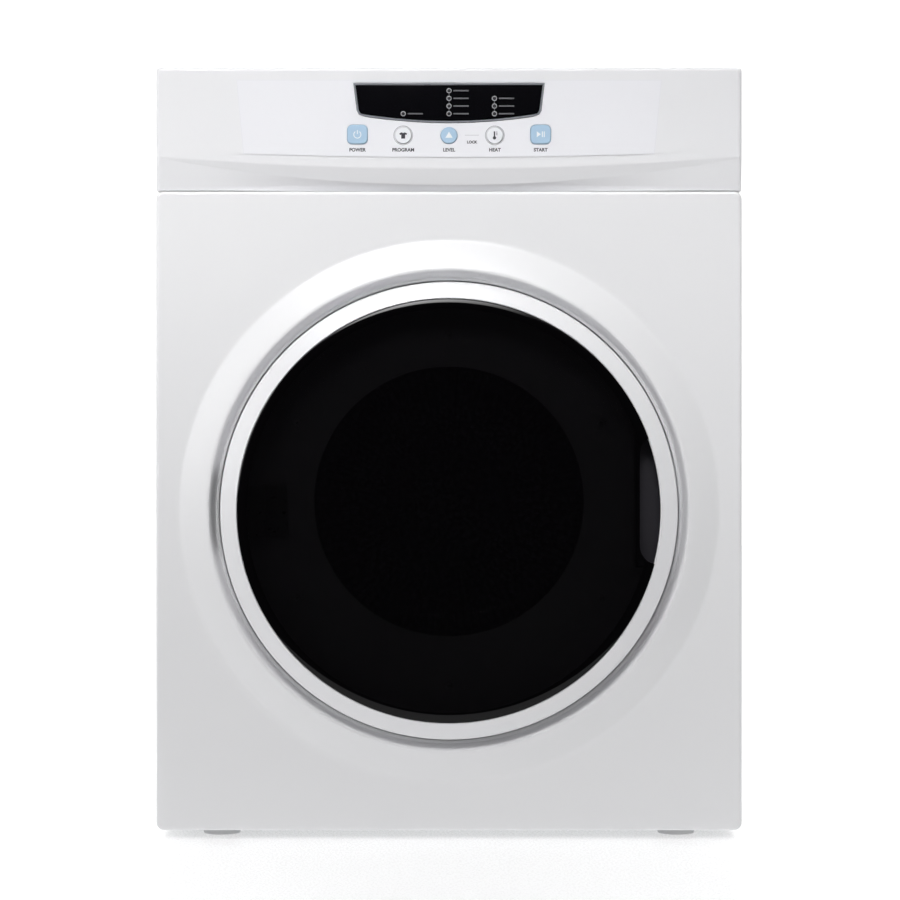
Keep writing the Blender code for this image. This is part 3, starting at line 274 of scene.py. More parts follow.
def make_white_plastic():
    """Smooth white moulding with slight flow marks."""
    finish = Finish("white_plastic", (0.80, 0.80, 0.82), 0.30)
    finish.tint(finish.noise(5.0), (0.797, 0.797, 0.817), (0.803, 0.803, 0.821))
    finish.vary("Roughness", finish.noise(90.0), 0.295, 0.305)
    finish.bump(finish.noise(900.0, 2.0), 0.000006)
    return finish.material


def make_film():
    """Satin printed film."""
    finish = Finish("label_film", (0.815, 0.815, 0.85), 0.42)
    finish.vary("Roughness", finish.noise(300.0), 0.41, 0.43)
    finish.bump(finish.noise(1500.0, 2.0), 0.000006)
    return finish.material


def make_ink(name, colour):
    """Printed ink with a slightly uneven edge to its gloss."""
    finish = Finish(name, colour, 0.5)
    finish.vary("Roughness", finish.noise(700.0), 0.44, 0.56)
    return finish.material


def make_plastic(name, colour, roughness, grain):
    """Moulded plastic with a fine grain of this height in metres."""
    finish = Finish(name, colour, roughness)
    light = tuple(min(1.0, part * 1.02) for part in colour)
    finish.tint(finish.noise(40.0), colour, light)
    finish.vary("Roughness", finish.noise(120.0), roughness - 0.04, roughness + 0.05)
    finish.bump(finish.noise(1600.0, 4.0), grain)
    return finish.material


def make_metal(name, colour, roughness, stretch=None):
    """Rolled or machined metal with fine lines and handling wear."""
    finish = Finish(name, colour, roughness, 1.0)
    dull = tuple(part * 0.88 for part in colour)
    finish.tint(finish.noise(14.0), dull, colour)
    finish.vary("Roughness", finish.noise(260.0, 4.0, stretch), roughness - 0.07, roughness + 0.10)
    finish.bump(finish.noise(500.0, 4.0, stretch), 0.000012)
    return finish.material


def make_galvanised():
    """Zinc-coated sheet with its crystal spangle."""
    finish = Finish("galvanised", (0.58, 0.60, 0.61), 0.42, 1.0)
    spangle = finish.texture("ShaderNodeTexVoronoi", 130.0, finish.place).outputs["Color"]
    finish.tint(spangle, (0.545, 0.560, 0.570), (0.610, 0.625, 0.635))
    finish.vary("Roughness", spangle, 0.40, 0.46)
    finish.bump(finish.noise(300.0), 0.00002)
    return finish.material


def make_drum_steel():
    """Brushed stainless sheet with rows of small drain holes round the drum, painted near black as the shade
    seen through them.
    """
    finish = Finish("drum_steel", (0.62, 0.62, 0.61), 0.27, 1.0)
    holes_round = 96
    hole_pitch = math.tau * DRUM_RADIUS / holes_round
    row_pitch = 0.0167
    hole_radius = 0.0022
    place = finish.axes()
    angle = finish.maths("ARCTAN2", finish.maths("SUBTRACT", place["Z"], AXIS_Z), place["X"])
    around = finish.maths("MULTIPLY", angle, holes_round / math.tau)
    along = finish.maths("DIVIDE", place["Y"], row_pitch)
    wide = finish.maths("MULTIPLY", finish.maths("PINGPONG", around, 0.5), hole_pitch)
    tall = finish.maths("MULTIPLY", finish.maths("PINGPONG", along, 0.5), row_pitch)
    metal = finish.maths("GREATER_THAN", finish.length(wide, tall), hole_radius)
    # near-black painted shade where the holes are, for the dark space behind the drum seen through them
    finish.tint(metal, (0.02, 0.02, 0.02), (0.62, 0.62, 0.61))
    finish.vary("Roughness", finish.noise(200.0, 4.0, (1, 30, 1)), 0.20, 0.36)
    finish.bump(metal, 0.0004)
    return finish.material


def make_mesh_screen():
    """Fine woven filter gauze."""
    finish = Finish("filter_gauze", (0.62, 0.63, 0.64), 0.6)
    weave = finish.texture("ShaderNodeTexChecker", 900.0, finish.place).outputs["Fac"]
    finish.tint(weave, (0.30, 0.31, 0.32), (0.60, 0.61, 0.62))
    finish.bump(weave, 0.0001)
    return finish.material


def make_gloss_black():
    """Polished black window of the display."""
    finish = Finish("display_black", (0.002, 0.002, 0.003), 0.10)
    finish.shader.inputs["Specular IOR Level"].default_value = 0.30
    finish.vary("Roughness", finish.noise(60.0), 0.09, 0.12)
    return finish.material


def make_tinted_glass():
    """Nearly black glass with an opaque printed border; a little of the lit door liner shows through."""
    finish = Finish("tinted_glass", (0.0008, 0.0006, 0.0010), 0.05)
    border_width = 0.0095
    tint = 0.69
    place = finish.axes()
    away = finish.length(place["X"], finish.maths("SUBTRACT", place["Z"], AXIS_Z))
    border = finish.maths("GREATER_THAN", away, GLASS_RADIUS - border_width)
    density = finish.maths("ADD", tint, finish.maths("MULTIPLY", border, 1 - tint))
    finish.links.new(density, finish.shader.inputs["Alpha"])
    finish.shader.inputs["Specular IOR Level"].default_value = 0.22
    finish.vary("Roughness", finish.noise(30.0), 0.03, 0.06)
    return finish.material


def make_clear_window():
    """Slightly smoky inner bowl with faint moulding ripple."""
    finish = Finish("clear_window", (0.06, 0.065, 0.07), 0.05)
    finish.shader.inputs["Alpha"].default_value = 0.34
    finish.vary("Roughness", finish.noise(25.0), 0.03, 0.08)
    finish.bump(finish.noise(22.0, 1.0), 0.00006)
    return finish.material


def make_light(name, colour, strength):
    """An even surface that also gives off light of its own colour, or none at strength 0."""
    finish = Finish(name, colour, 0.25)
    finish.shader.inputs["Emission Color"].default_value = (*colour, 1)
    finish.shader.inputs["Emission Strength"].default_value = strength
    finish.vary("Roughness", finish.noise(400.0), 0.20, 0.30)
    return finish.material


def make_rubber(name, colour):
    """Matt rubber with a dusty bloom."""
    finish = Finish(name, colour, 0.72)
    bloom = tuple(part * 1.5 for part in colour)
    finish.tint(finish.noise(50.0, 5.0), colour, bloom)
    finish.vary("Roughness", finish.noise(110.0), 0.66, 0.80)
    finish.bump(finish.noise(1200.0, 4.0), 0.00003)
    return finish.material


def make_felt():
    """Pressed wool felt."""
    finish = Finish("felt", (0.55, 0.50, 0.42), 0.95)
    finish.tint(finish.noise(700.0, 6.0), (0.44, 0.40, 0.33), (0.60, 0.55, 0.47))
    finish.bump(finish.noise(1400.0, 6.0), 0.00025)
    return finish.material


MATERIALS = {
    "enamel": make_enamel(),
    "white_plastic": make_white_plastic(),
    "film": make_film(),
    "print_grey": make_ink("print_grey", (0.30, 0.30, 0.32)),
    "print_pale": make_ink("print_pale", (0.75, 0.75, 0.78)),
    "print_dim": make_ink("print_dim", (0.10, 0.10, 0.11)),
    "print_black": make_ink("print_black", (0.03, 0.03, 0.04)),
    "print_white": make_ink("print_white", (0.84, 0.86, 0.88)),
    "silver": make_plastic("silver_trim", (0.25, 0.26, 0.29), 0.30, 0.000004),
    "display": make_gloss_black(),
    "blue": make_plastic("button_blue", (0.40, 0.56, 0.72), 0.34, 0.000004),
    "button_white": make_plastic("button_white", (0.80, 0.81, 0.84), 0.34, 0.000004),
    "dark": make_plastic("dark_plastic", (0.018, 0.016, 0.022), 0.45, 0.00002),
    "grey": make_plastic("grey_plastic", (0.33, 0.33, 0.35), 0.45, 0.00002),
    "liner": make_plastic("liner_grey", (0.30, 0.29, 0.31), 0.40, 0.00001),
    "board": make_plastic("circuit_board", (0.02, 0.15, 0.06), 0.45, 0.00001),
    "foot": make_plastic("foot_plastic", (0.74, 0.74, 0.75), 0.55, 0.00002),
    "galvanised": make_galvanised(),
    "steel": make_metal("machined_steel", (0.50, 0.50, 0.51), 0.32),
    "brushed": make_metal("brushed_steel", (0.60, 0.60, 0.59), 0.26, (1, 25, 1)),
    "heater_wire": make_metal("heater_wire", (0.30, 0.24, 0.20), 0.42),
    "drum_steel": make_drum_steel(),
    "gauze": make_mesh_screen(),
    "tinted_glass": make_tinted_glass(),
    "window": make_clear_window(),
    "light_off": make_light("light_off", (0.020, 0.020, 0.024), 0.0),
    "rubber": make_rubber("rubber", (0.022, 0.022, 0.022)),
    "felt": make_felt(),
}


# ---- meshes ----

def plain_mesh(bm):
    """Turn a bmesh into a mesh, which add_piece names later."""
    mesh = bpy.data.meshes.new("mesh")
    bm.to_mesh(mesh)
    bm.free()
    return mesh


def finish_mesh(bm):
    """Turn a bmesh into a mesh with outward faces."""
    bmesh.ops.recalc_face_normals(bm, faces=bm.faces)
    return plain_mesh(bm)


def revolve(profile, centre=DOOR_CENTRE, segments=ROUND, closed=True):
    """Turn a (radius, forward) section about an axis that faces the front."""
    bm = bmesh.new()
    rings = []
    for radius, forward in profile:
        if radius < 0.00001:
            rings.append([bm.verts.new((centre[0], depth(forward), centre[1]))] * segments)
            continue
        ring = []
        for step in range(segments):
            angle = math.tau * step / segments
            x = centre[0] + radius * math.cos(angle)
            z = centre[1] + radius * math.sin(angle)
            ring.append(bm.verts.new((x, depth(forward), z)))
        rings.append(ring)
    join_rings(bm, rings, closed)
    return finish_mesh(bm)


def join_rings(bm, rings, closed):
    """Faces between neighbouring rings of points."""
    pairs = list(zip(rings, rings[1:]))
    if closed:
        pairs.append((rings[-1], rings[0]))
    for first, second in pairs:
        count = len(first)
        for index in range(count):
            following = (index + 1) % count
            corners = [first[index], first[following], second[following], second[index]]
            unique = list(dict.fromkeys(corners))
            if len(unique) > 2:
                bm.faces.new(unique)


def stack(layers, looped=False):
    """Skin over (outline, forward) layers: capped at both ends, or looped round an opening."""
    bm = bmesh.new()
    rings = [[bm.verts.new((x, depth(forward), z)) for x, z in outline] for outline, forward in layers]
    join_rings(bm, rings, looped)
    if not looped:
        bm.faces.new(rings[0])
        bm.faces.new(rings[-1])
    return finish_mesh(bm)


def prism(outline, first, last):
    """An outline with straight walls from one forward place to another."""
    return stack([(outline, first), (outline, last)])


def pad(outline_at, front, back, rounding, steps=4):
    """A solid from an outline that can grow or shrink, with its front edge rounded."""
    layers = [(outline_at(0.0), back)]
    for step in range(steps + 1):
        angle = math.radians(90) * step / steps
        inset = rounding * (1 - math.cos(angle))
        forward = front - rounding * (1 - math.sin(angle))
        layers.append((outline_at(-inset), forward))
    return stack(layers)


def flat_fill(outlines, front, back):
    """A flat plate from one outline and the outlines of its holes."""
    curve = bpy.data.curves.new("plate", "CURVE")
    curve.dimensions = "2D"
    curve.fill_mode = "BOTH"
    curve.extrude = (front - back) / 2
    for outline in outlines:
        spline = curve.splines.new("POLY")
        spline.points.add(len(outline) - 1)
        for point, (x, z) in zip(spline.points, outline):
            point.co = (x, z, 0, 1)
        spline.use_cyclic_u = True
    return curve_to_mesh(curve, (front + back) / 2)


def shown_mesh(shown):
    """What an object looks like now, with its modifiers, as a mesh of its own."""
    bpy.context.view_layer.update()
    evaluated = shown.evaluated_get(bpy.context.evaluated_depsgraph_get())
    return bpy.data.meshes.new_from_object(evaluated)


def curve_to_mesh(curve, forward):
    """The mesh of a flat curve or text, stood up to face the front."""
    drawn = bpy.data.objects.new("drawn", curve)
    bpy.context.scene.collection.objects.link(drawn)
    mesh = shown_mesh(drawn)
    bpy.data.objects.remove(drawn, do_unlink=True)
    mesh.transform(Matrix.Translation((0, depth(forward), 0)) @ Matrix.Rotation(math.radians(90), 4, "X"))
    return mesh


def block_bmesh(low, high):
    """A bmesh of a block between two (x, forward, z) corners."""
    bm = bmesh.new()
    low_corner = Vector((low[0], depth(low[1]), low[2]))
    high_corner = Vector((high[0], depth(high[1]), high[2]))
    size = high_corner - low_corner
    scale = Matrix.Diagonal((abs(size.x), abs(size.y), abs(size.z), 1))
    bmesh.ops.create_cube(bm, size=1.0, matrix=Matrix.Translation((low_corner + high_corner) / 2) @ scale)
    return bm


def block(low, high):
    """A block between two (x, forward, z) corners."""
    return finish_mesh(block_bmesh(low, high))


def merge(meshes):
    """Several meshes as one."""
    bm = bmesh.new()
    for mesh in meshes:
        bm.from_mesh(mesh)
        bpy.data.meshes.remove(mesh)
    return plain_mesh(bm)


# ---- pieces ----

def shade(mesh):
    """Smooth rounds and crisp edges."""
    mesh.shade_smooth()
    mesh.set_sharp_from_angle(angle=SMOOTH_ANGLE)


def add_piece(name, mesh, material, body, stands_for=()):
    """Show a mesh on a CAD body."""
    mesh.name = name
    shade(mesh)
    mesh.materials.clear()
    mesh.materials.append(MATERIALS[material])
    piece = bpy.data.objects.new(name, mesh)
    bpy.context.scene.collection.objects.link(piece)
    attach(piece, body)
    if stands_for:
        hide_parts(*stands_for)
    return piece


def add_skin(name, mesh, material, body):
    """Show a mesh in place of the CAD part of this name."""
    return add_piece(name + "_skin", mesh, material, body, [name])


def add_group(name, meshes, material, body):
    """Show several meshes as one piece on a CAD body."""
    return add_piece(name, merge(meshes), material, body)


def apply_modifiers(piece):
    """Keep what a piece's modifiers make of its mesh."""
    made = shown_mesh(piece)
    piece.modifiers.clear()
    old = piece.data
    piece.data = made
    bpy.data.meshes.remove(old)


def add_sheet(piece, offset):
    """Give a surface the thickness of sheet metal: offset 1 grows outwards, -1 inwards."""
    solid = piece.modifiers.new("sheet", "SOLIDIFY")
    solid.thickness = SHEET
    solid.offset = offset


def add_cut(piece, mesh):
    """Cut a mesh's shape out of a piece."""
    tool = bpy.data.objects.new(piece.name + "_tool", mesh)
    bpy.context.scene.collection.objects.link(tool)
    modifier = piece.modifiers.new("cut", "BOOLEAN")
    modifier.object = tool
    modifier.solver = "EXACT"
    apply_modifiers(piece)
    bpy.data.objects.remove(tool, do_unlink=True)
    shade(piece.data)


def keep_flats(piece):
    """Shade a piece's flats as flat beside its rounded edges."""
    weighted = piece.modifiers.new("flats", "WEIGHTED_NORMAL")
    weighted.keep_sharp = True


def ease_edges(piece, width, segments=2):
    """Round a piece's sharp edges a little and keep its flats flat."""
    bevel = piece.modifiers.new("edges", "BEVEL")
    bevel.width = width
    bevel.segments = segments
    bevel.limit_method = "ANGLE"
    bevel.angle_limit = math.radians(40)
    bevel.harden_normals = False
    keep_flats(piece)


# ---- cabinet ----

def panel_rim(angle, inset, corner):
    """Point on the front panel's rounded outline at an angle from the door's centre."""
    low = BOTTOM_Z + inset
    high = PANEL_TOP_Z - inset
    half = HALF_WIDTH - inset
    radius = max(corner - inset, 0.0004)
    across = math.cos(angle)
    up = math.sin(angle)
    tiny = 1e-9
    reach_x = half / max(abs(across), tiny)
    reach_z = (high - AXIS_Z if up > 0 else AXIS_Z - low) / max(abs(up), tiny)
    reach = min(reach_x, reach_z)
    x = reach * across
    z = AXIS_Z + reach * up
    centre_x = math.copysign(half - radius, across)
    centre_z = high - radius if up > 0 else low + radius
    if abs(x) > abs(centre_x) and (z - centre_z) * up > 0:
        spot = Vector((centre_x, centre_z - AXIS_Z))
        ray = Vector((across, up))
        along = spot.dot(ray)
        reach = along + math.sqrt(max(along ** 2 - spot.length_squared + radius ** 2, 0))
        x = reach * across
        z = AXIS_Z + reach * up
    return x, z


def panel_angles():
    """Directions from the door's centre, closer together at the panel's corners."""
    angles = {math.tau * step / 240 for step in range(240)}
    for sign_x in (1, -1):
        for height in (PANEL_TOP_Z - AXIS_Z, BOTTOM_Z - AXIS_Z):
            corner = math.atan2(height, sign_x * HALF_WIDTH) % math.tau
            for step in range(-8, 9):
                angles.add(corner + step * 0.0022)
    return sorted(angles)


def build_front_panel():
    """Front panel with its raised surround and the recess that the door sits in."""
    crease = 0.274
    crest = 0.243
    lip = 0.2338
    wall = 0.237
    fillet = 0.003
    inner = [(OPENING_RADIUS + 0.006, RECESS_FLOOR), (wall - fillet - 0.002, RECESS_FLOOR)]
    inner += arc((wall - fillet, RECESS_FLOOR + fillet), fillet, 270, 360, 4)
    inner += [(wall, -0.0060), (wall, -0.0040), (lip, -0.0040), (lip, -0.0022), (lip + 0.0005, -0.0018)]
    inner += [(0.2368, -0.0014), (0.2380, 0.0000), (0.2390, 0.0026), (0.2398, 0.0054), (0.2407, 0.0082),
              (0.2418, 0.0104), (0.2430, 0.0116), (0.2444, 0.0119), (0.2460, 0.0115)]
    inner += [(crest + 0.010, 0.0094), (crease - 0.004, 0.0018)]
    inner += [(crease - 0.0012, 0.0006), (crease + 0.0006, 0.00005), (crease + 0.003, 0.0)]
    angles = panel_angles()
    bm = bmesh.new()
    rings = [[bm.verts.new((radius * math.cos(angle), depth(forward), AXIS_Z + radius * math.sin(angle)))
              for angle in angles] for radius, forward in inner]
    fold = 0.0032
    corner = 0.008
    sides = [(fold + 0.003, 0.0)]
    for step in range(6):
        turn = math.radians(90) * step / 5
        sides.append((fold * (1 - math.sin(turn)), -fold * (1 - math.cos(turn))))
    sides += [(0.0, -0.010), (0.0, -FRONT_FRAME)]
    for inset, forward in sides:
        ring = []
        for angle in angles:
            x, z = panel_rim(angle, inset, corner)
            ring.append(bm.verts.new((x, depth(forward), z)))
        rings.append(ring)
    join_rings(bm, rings, False)
    bmesh.ops.recalc_face_normals(bm, faces=bm.faces)
    front = max(bm.faces, key=lambda face: face.calc_area())
    if front.normal.y > 0:
        bmesh.ops.reverse_faces(bm, faces=bm.faces)
    piece = add_skin("front_panel", plain_mesh(bm), "enamel", "cabinet")
    add_sheet(piece, -1)
    apply_modifiers(piece)
    add_cut(piece, block((LATCH[0] - 0.009, -0.030, LATCH[1] - 0.012),
                         (LATCH[0] + 0.009, -0.010, LATCH[1] + 0.012)))


def folded_sheet(corners, radius, low, high):
    """A sheet folded along an open line of (x, forward) corners, with rounded bends."""
    path = [Vector(corners[0])]
    for before, corner, after in zip(corners, corners[1:], corners[2:]):
        corner = Vector(corner)
        back = (Vector(before) - corner).normalized()
        ahead = (Vector(after) - corner).normalized()
        centre = corner + (back + ahead) * radius
        for step in range(7):
            turn = math.radians(90) * step / 6
            path.append(centre - ahead * radius * math.cos(turn) - back * radius * math.sin(turn))
    path.append(Vector(corners[-1]))
    bm = bmesh.new()
    rows = [[bm.verts.new((spot.x, depth(spot.y), z)) for spot in path] for z in (low, high)]
    for index in range(len(path) - 1):
        bm.faces.new((rows[0][index], rows[0][index + 1], rows[1][index + 1], rows[1][index]))
    return plain_mesh(bm)


def build_side_panels():
    """Enamelled side sheets with rounded front and rear folds."""
    front = -FRONT_FRAME - 0.0005
    for name, side in (("left_side_panel", -1), ("right_side_panel", 1)):
        edge = side * HALF_WIDTH
        fold = side * (HALF_WIDTH - 0.015)
        corners = [(fold, front), (edge, front), (edge, REAR + 0.002), (fold, REAR + 0.002)]
        if side > 0:
            corners.reverse()
        mesh = folded_sheet(corners, 0.0025, BOTTOM_Z, TOP_Z - LID - 0.0005)
        piece = add_skin(name, mesh, "enamel", "cabinet")
        add_sheet(piece, 1)


def build_top_panel():
    """Lid with rounded edges."""
    bm = block_bmesh((-HALF_WIDTH, -FRONT_FRAME - 0.0005, TOP_Z - LID),
                     (HALF_WIDTH, REAR + 0.0005, TOP_Z - 0.0005))
    bottom = [face for face in bm.faces if face.normal.z < -0.9]
    bmesh.ops.delete(bm, geom=bottom, context="FACES_ONLY")
    folds = [edge for edge in bm.edges if len(edge.link_faces) == 2]
    bmesh.ops.bevel(bm, geom=folds, offset=0.003, segments=5, profile=0.5, affect="EDGES")
    piece = add_skin("top_panel", plain_mesh(bm), "enamel", "cabinet")
    add_sheet(piece, -1)
    keep_flats(piece)


def screw_meshes(x, z, forward, facing):
    """Pan screw head and two dark bars on it, painted shade for its cross recess; facing is 1 towards the
    front, -1 towards the back.
    """
    radius = 0.0036
    height = 0.0022
    bar_length = radius * 0.9
    bar_width = 0.0005
    dome = [(0, 0), (radius, 0), (radius, height * 0.4), (radius * 0.8, height * 0.85),
            (radius * 0.35, height), (0, height)]
    meshes = [revolve([(part, forward + facing * up) for part, up in dome], (x, z), 24, False)]
    top = forward + facing * height
    for wide, tall in ((bar_length, bar_width), (bar_width, bar_length)):
        meshes.append(block((x - wide / 2, top - facing * 0.0004, z - tall / 2),
                            (x + wide / 2, top + facing * 0.00006, z + tall / 2)))
    return meshes


def add_screws(name, places, forward, facing, body):
    """Screws at (x, z) places on one plane, heads in steel, with dark bars as painted shade in their
    recesses.
    """
    heads = []
    recess_shade_bars = []
    for x, z in places:
        head, *bars = screw_meshes(x, z, forward, facing)
        heads.append(head)
        recess_shade_bars += bars
    add_group(name, heads, "steel", body)
    # dark bars sit on the heads as painted shade in place of cut recesses
    add_group(name + "_recesses", recess_shade_bars, "dark", body)


def build_back():
    """Louvre hoods, stiffening beads, screws and collar on the back."""
    hoods = []
    for x in (0.115, 0.190):
        for row in range(6):
            z = 0.480 + 0.016 * row
            foot = rectangle(x - 0.002, z + 0.0048, x + 0.062, z + 0.0090)
            lip = rectangle(x + 0.002, z + 0.0044, x + 0.058, z + 0.0056)
            hoods.append(stack([(foot, REAR), (lip, REAR - 0.0035)]))
    louvres = add_group("rear_louvres", hoods, "galvanised", "cabinet")
    ease_edges(louvres, 0.0008)
    bead_width = 0.010
    half = bead_width / 2
    beads = []
    for width, height, x, z in (
            (bead_width, 0.300, -0.235, 0.420), (bead_width, 0.300, 0.075, 0.420),
            (0.240, bead_width, -0.080, 0.215), (0.240, bead_width, -0.080, 0.610)):
        foot = rounded_outline(width, height, half, centre=(x, z))
        crown = rounded_outline(width - half, height - half, half / 2, centre=(x, z))
        beads.append(stack([(foot, REAR), (crown, REAR - 0.0016)]))
    add_group("rear_beads", beads, "galvanised", "cabinet")
    places = [(x, z) for x in (-0.287, 0.287) for z in (0.030, 0.270, 0.510, 0.752)]
    places += [(x, z) for x in (-0.100, 0.100) for z in (0.022, 0.755)]
    add_screws("rear_screws", places, REAR, -1, "cabinet")
    # (radius, how far behind the back)
    collar = [
        (0.0490, -0.006), (0.0490, 0.0003), (0.0600, 0.0003), (0.0620, 0.0012), (0.0616, 0.0028),
        (0.0520, 0.0034), (0.0500, 0.0045), (0.0494, 0.010), (0.0499, 0.0115), (0.0494, 0.013),
        (0.0490, 0.0292), (0.0486, 0.0300), (0.0474, 0.0300), (0.0470, 0.0292), (0.0470, -0.006),
    ]
    mesh = revolve([(radius, REAR - behind) for radius, behind in collar], EXHAUST, 96)
    add_skin("exhaust_collar", mesh, "white_plastic", "cabinet")


def build_drum_collar():
    """Smooth collar round the loading opening, with the filter's slot."""
    outside = OPENING_RADIUS + SHEET
    front = -0.0225
    back = -0.056
    section = [
        (OPENING_RADIUS + 0.0002, front + 0.0005), (outside, front), (outside, back), (OPENING_RADIUS, back),
        (OPENING_RADIUS, front),
    ]
    piece = add_skin("drum_collar", revolve(section), "galvanised", "cabinet")
    add_cut(piece, block((-0.078, -0.047, 0.120), (0.078, -0.035, 0.200)))


def build_feet():
    """Levelling feet: a stud with a round lock nut and a pad."""
    stud = 0.005
    section = [
        (0, 0.034), (stud - 0.0004, 0.034), (stud, 0.0335), (stud, 0.0150), (0.0085, 0.0150),
        (0.0085, 0.0105), (stud, 0.0105), (stud, 0.0096), (0.0125, 0.0096), (0.0182, 0.0068),
        (0.019, 0.0055), (0.019, 0.0008), (0.0184, 0), (0, 0),
    ]
    upright = Matrix.Rotation(math.radians(-90), 4, "X")
    for row, forward in (("front", -0.062), ("rear", -0.455)):
        for side, x in (("left", -0.235), ("right", 0.235)):
            name = "foot_" + row + "_" + side
            mesh = revolve(section, (0, 0), SMALL_ROUND, False)
            mesh.transform(Matrix.Translation((x, depth(forward), FRONT_Y)) @ upright)
            add_skin(name, mesh, "foot", name)


# ---- console ----

def scoop_section(x):
    """The console's (height, forward) outline at one place across, from its top down to the joint."""
    share = (x / HALF_WIDTH) ** 2
    crest = BOTTOM_Z + 0.672 + 0.0125 * share
    fold = BOTTOM_Z + 0.656 + 0.0272 * share
    slope = 0.38
    turn = min(1.0, max(0.0, (share - 0.10) / 0.65))
    fold_forward = -slope * (crest - fold)
    bottom_forward = -0.0135 + 0.0077 * turn * turn * (3 - 2 * turn)
    ease = min(0.0012, 0.4 * (crest - fold))
    small = ease / 2
    return [
        (TOP_Z, -FRONT_FRAME), (TOP_Z, 0), (crest + ease, 0), (crest - ease, -slope * ease),
        (fold + small, fold_forward + slope * small),
        (fold - small, fold_forward + small * (bottom_forward - fold_forward) / (fold - CONSOLE_LOW_Z)),
        (CONSOLE_LOW_Z, bottom_forward), (CONSOLE_LOW_Z, -FRONT_FRAME),
    ]


def build_fascia():
    """Console front with its scooped lower edge and the openings for display and buttons."""
    stations = 72
    bm = bmesh.new()
    rings = []
    for station in range(stations + 1):
        x = HALF_WIDTH * (2 * station / stations - 1)
        rings.append([bm.verts.new((x, depth(forward), z)) for z, forward in scoop_section(x)])
    join_rings(bm, rings, False)
    bm.faces.new(rings[0][::-1])
    bm.faces.new(rings[-1])
    bmesh.ops.recalc_face_normals(bm, faces=bm.faces)
    soft = []
    close = 0.0001
    for edge in bm.edges:
        ends = [vert.co for vert in edge.verts]
        on_top = all(abs(end.z - TOP_Z) < close for end in ends)
        in_front = all(end.y < depth(-0.001) for end in ends)
        at_end = all(abs(abs(end.x) - HALF_WIDTH) < close for end in ends)
        scooped = all(end.y < depth(-0.0142) for end in ends)
        if (on_top and in_front) or (on_top and at_end) or (at_end and scooped and not on_top):
            soft.append(edge)
    bmesh.ops.bevel(bm, geom=soft, offset=0.004, segments=6, profile=0.5, affect="EDGES",
                    clamp_overlap=True)
    piece = add_skin("console_fascia", finish_mesh(bm), "white_plastic", "cabinet")
    # hollow behind the flat face and behind the scoop, then openings through the face
    wall = 0.0025
    inside = HALF_WIDTH - wall
    add_cut(piece, block((-inside, -0.05, 0.697), (inside, -wall, TOP_Z - wall)))
    add_cut(piece, block((-inside, -0.06, CONSOLE_LOW_Z + wall), (inside, -0.0165, 0.700)))
    for hole in console_holes(0.0012, 0.0004):
        add_cut(piece, flat_fill([hole], 0.01, -0.01))
    keep_flats(piece)


def build_film():
    """Label film with a fine grey border."""
    mesh = flat_fill([film_outline()] + console_holes(0.0016, 0.0005), 0.0007, 0.0003)
    add_skin("label_film", mesh, "film", "cabinet")
    border = flat_fill([film_outline(-0.0003), film_outline(-0.0007)], 0.00076, 0.0005)
    add_piece("film_border", border, "print_pale", "cabinet")


def build_display():
    """Silver bezel round a black window."""
    layers = [
        (0.0008, -0.0030), (0.0008, 0.0008), (0.0006, 0.0012), (0.0002, 0.0014), (-0.0004, 0.0014),
        (-0.0007, 0.0012), (-0.0008, 0.0009), (-0.0008, -0.0030),
    ]
    mesh = stack([(display_outline(grow), forward) for grow, forward in layers], looped=True)
    add_skin("display_bezel", mesh, "silver", "cabinet")
    window = pad(lambda grow: display_outline(grow - 0.0012), 0.0010, -0.0020, 0.0004)
    add_skin("display_window", window, "display", "cabinet")


def label(text, x, z, height):
    """Generic printed word, centred."""
    curve = bpy.data.curves.new("label", "FONT")
    curve.body = text
    curve.size = height * 1.4
    curve.align_x = "CENTER"
    curve.align_y = "CENTER"
    curve.extrude = 0.00003
    curve.offset = 0.00017
    mesh = curve_to_mesh(curve, 0.00074)
    mesh.transform(Matrix.Translation((x, 0, z)))
    return mesh


def ring_mesh(x, z, outer, inner, front, back):
    """A flat printed ring."""
    return flat_fill([circle(radius, centre=(x, z)) for radius in (outer, inner)], front, back)


def build_print():
    """Captions under the buttons, the lock's caption and its rule, and rings round the white buttons."""
    captions = []
    for name, x, _z, _shape in button_layout():
        captions.append(label(name.removesuffix("_button").upper(), x, TOP_Z - 0.0842, 0.0034))
    lock_x = BUTTON_PITCH / 2
    captions.append(label("LOCK", lock_x, TOP_Z - 0.0763, 0.0027))
    add_group("captions", captions, "print_black", "cabinet")
    ink = 0.00076
    half_rule = 0.007
    marks = [block((lock_x - half_rule, 0.00070, TOP_Z - 0.0693), (lock_x + half_rule, ink, TOP_Z - 0.0690))]
    for x in (-BUTTON_PITCH, BUTTON_PITCH):
        marks.append(ring_mesh(x, ROUND_Z, 0.0099, 0.0094, ink, 0.0006))
    add_group("button_rings", marks, "print_grey", "cabinet")


def build_indicators():
    """Small lenses in grey rings on the display glass, joined by bars, with a short bar beside each."""
    face = 0.0010
    back = face - 0.0001
    pitch = 0.0078
    rings = []
    lenses = []
    bars = []
    for x, count in ((-BUTTON_PITCH, 1), (0.0, 4), (BUTTON_PITCH - 0.0004, 3)):
        for row in range(count):
            z = TOP_Z - 0.0474 + row * pitch
            rings.append(ring_mesh(x, z, 0.0026, 0.0018, face + 0.00012, back))
            lenses.append(pad(lambda grow, at=(x, z): circle(0.0017 + grow, 24, at),
                              face + 0.0003, back, 0.0002, 2))
            bars.append(block((x + 0.0045, back, z - 0.0007), (x + 0.0200, face + 0.0001, z + 0.0007)))
            if row:
                bars.append(block((x - 0.0003, back, z - 0.0052), (x + 0.0003, face + 0.0001, z - 0.0026)))
    add_group("indicator_rings", rings, "print_grey", "cabinet")
    add_group("indicator_lenses", lenses, "light_off", "cabinet")
    add_group("indicator_bars", bars, "print_dim", "cabinet")


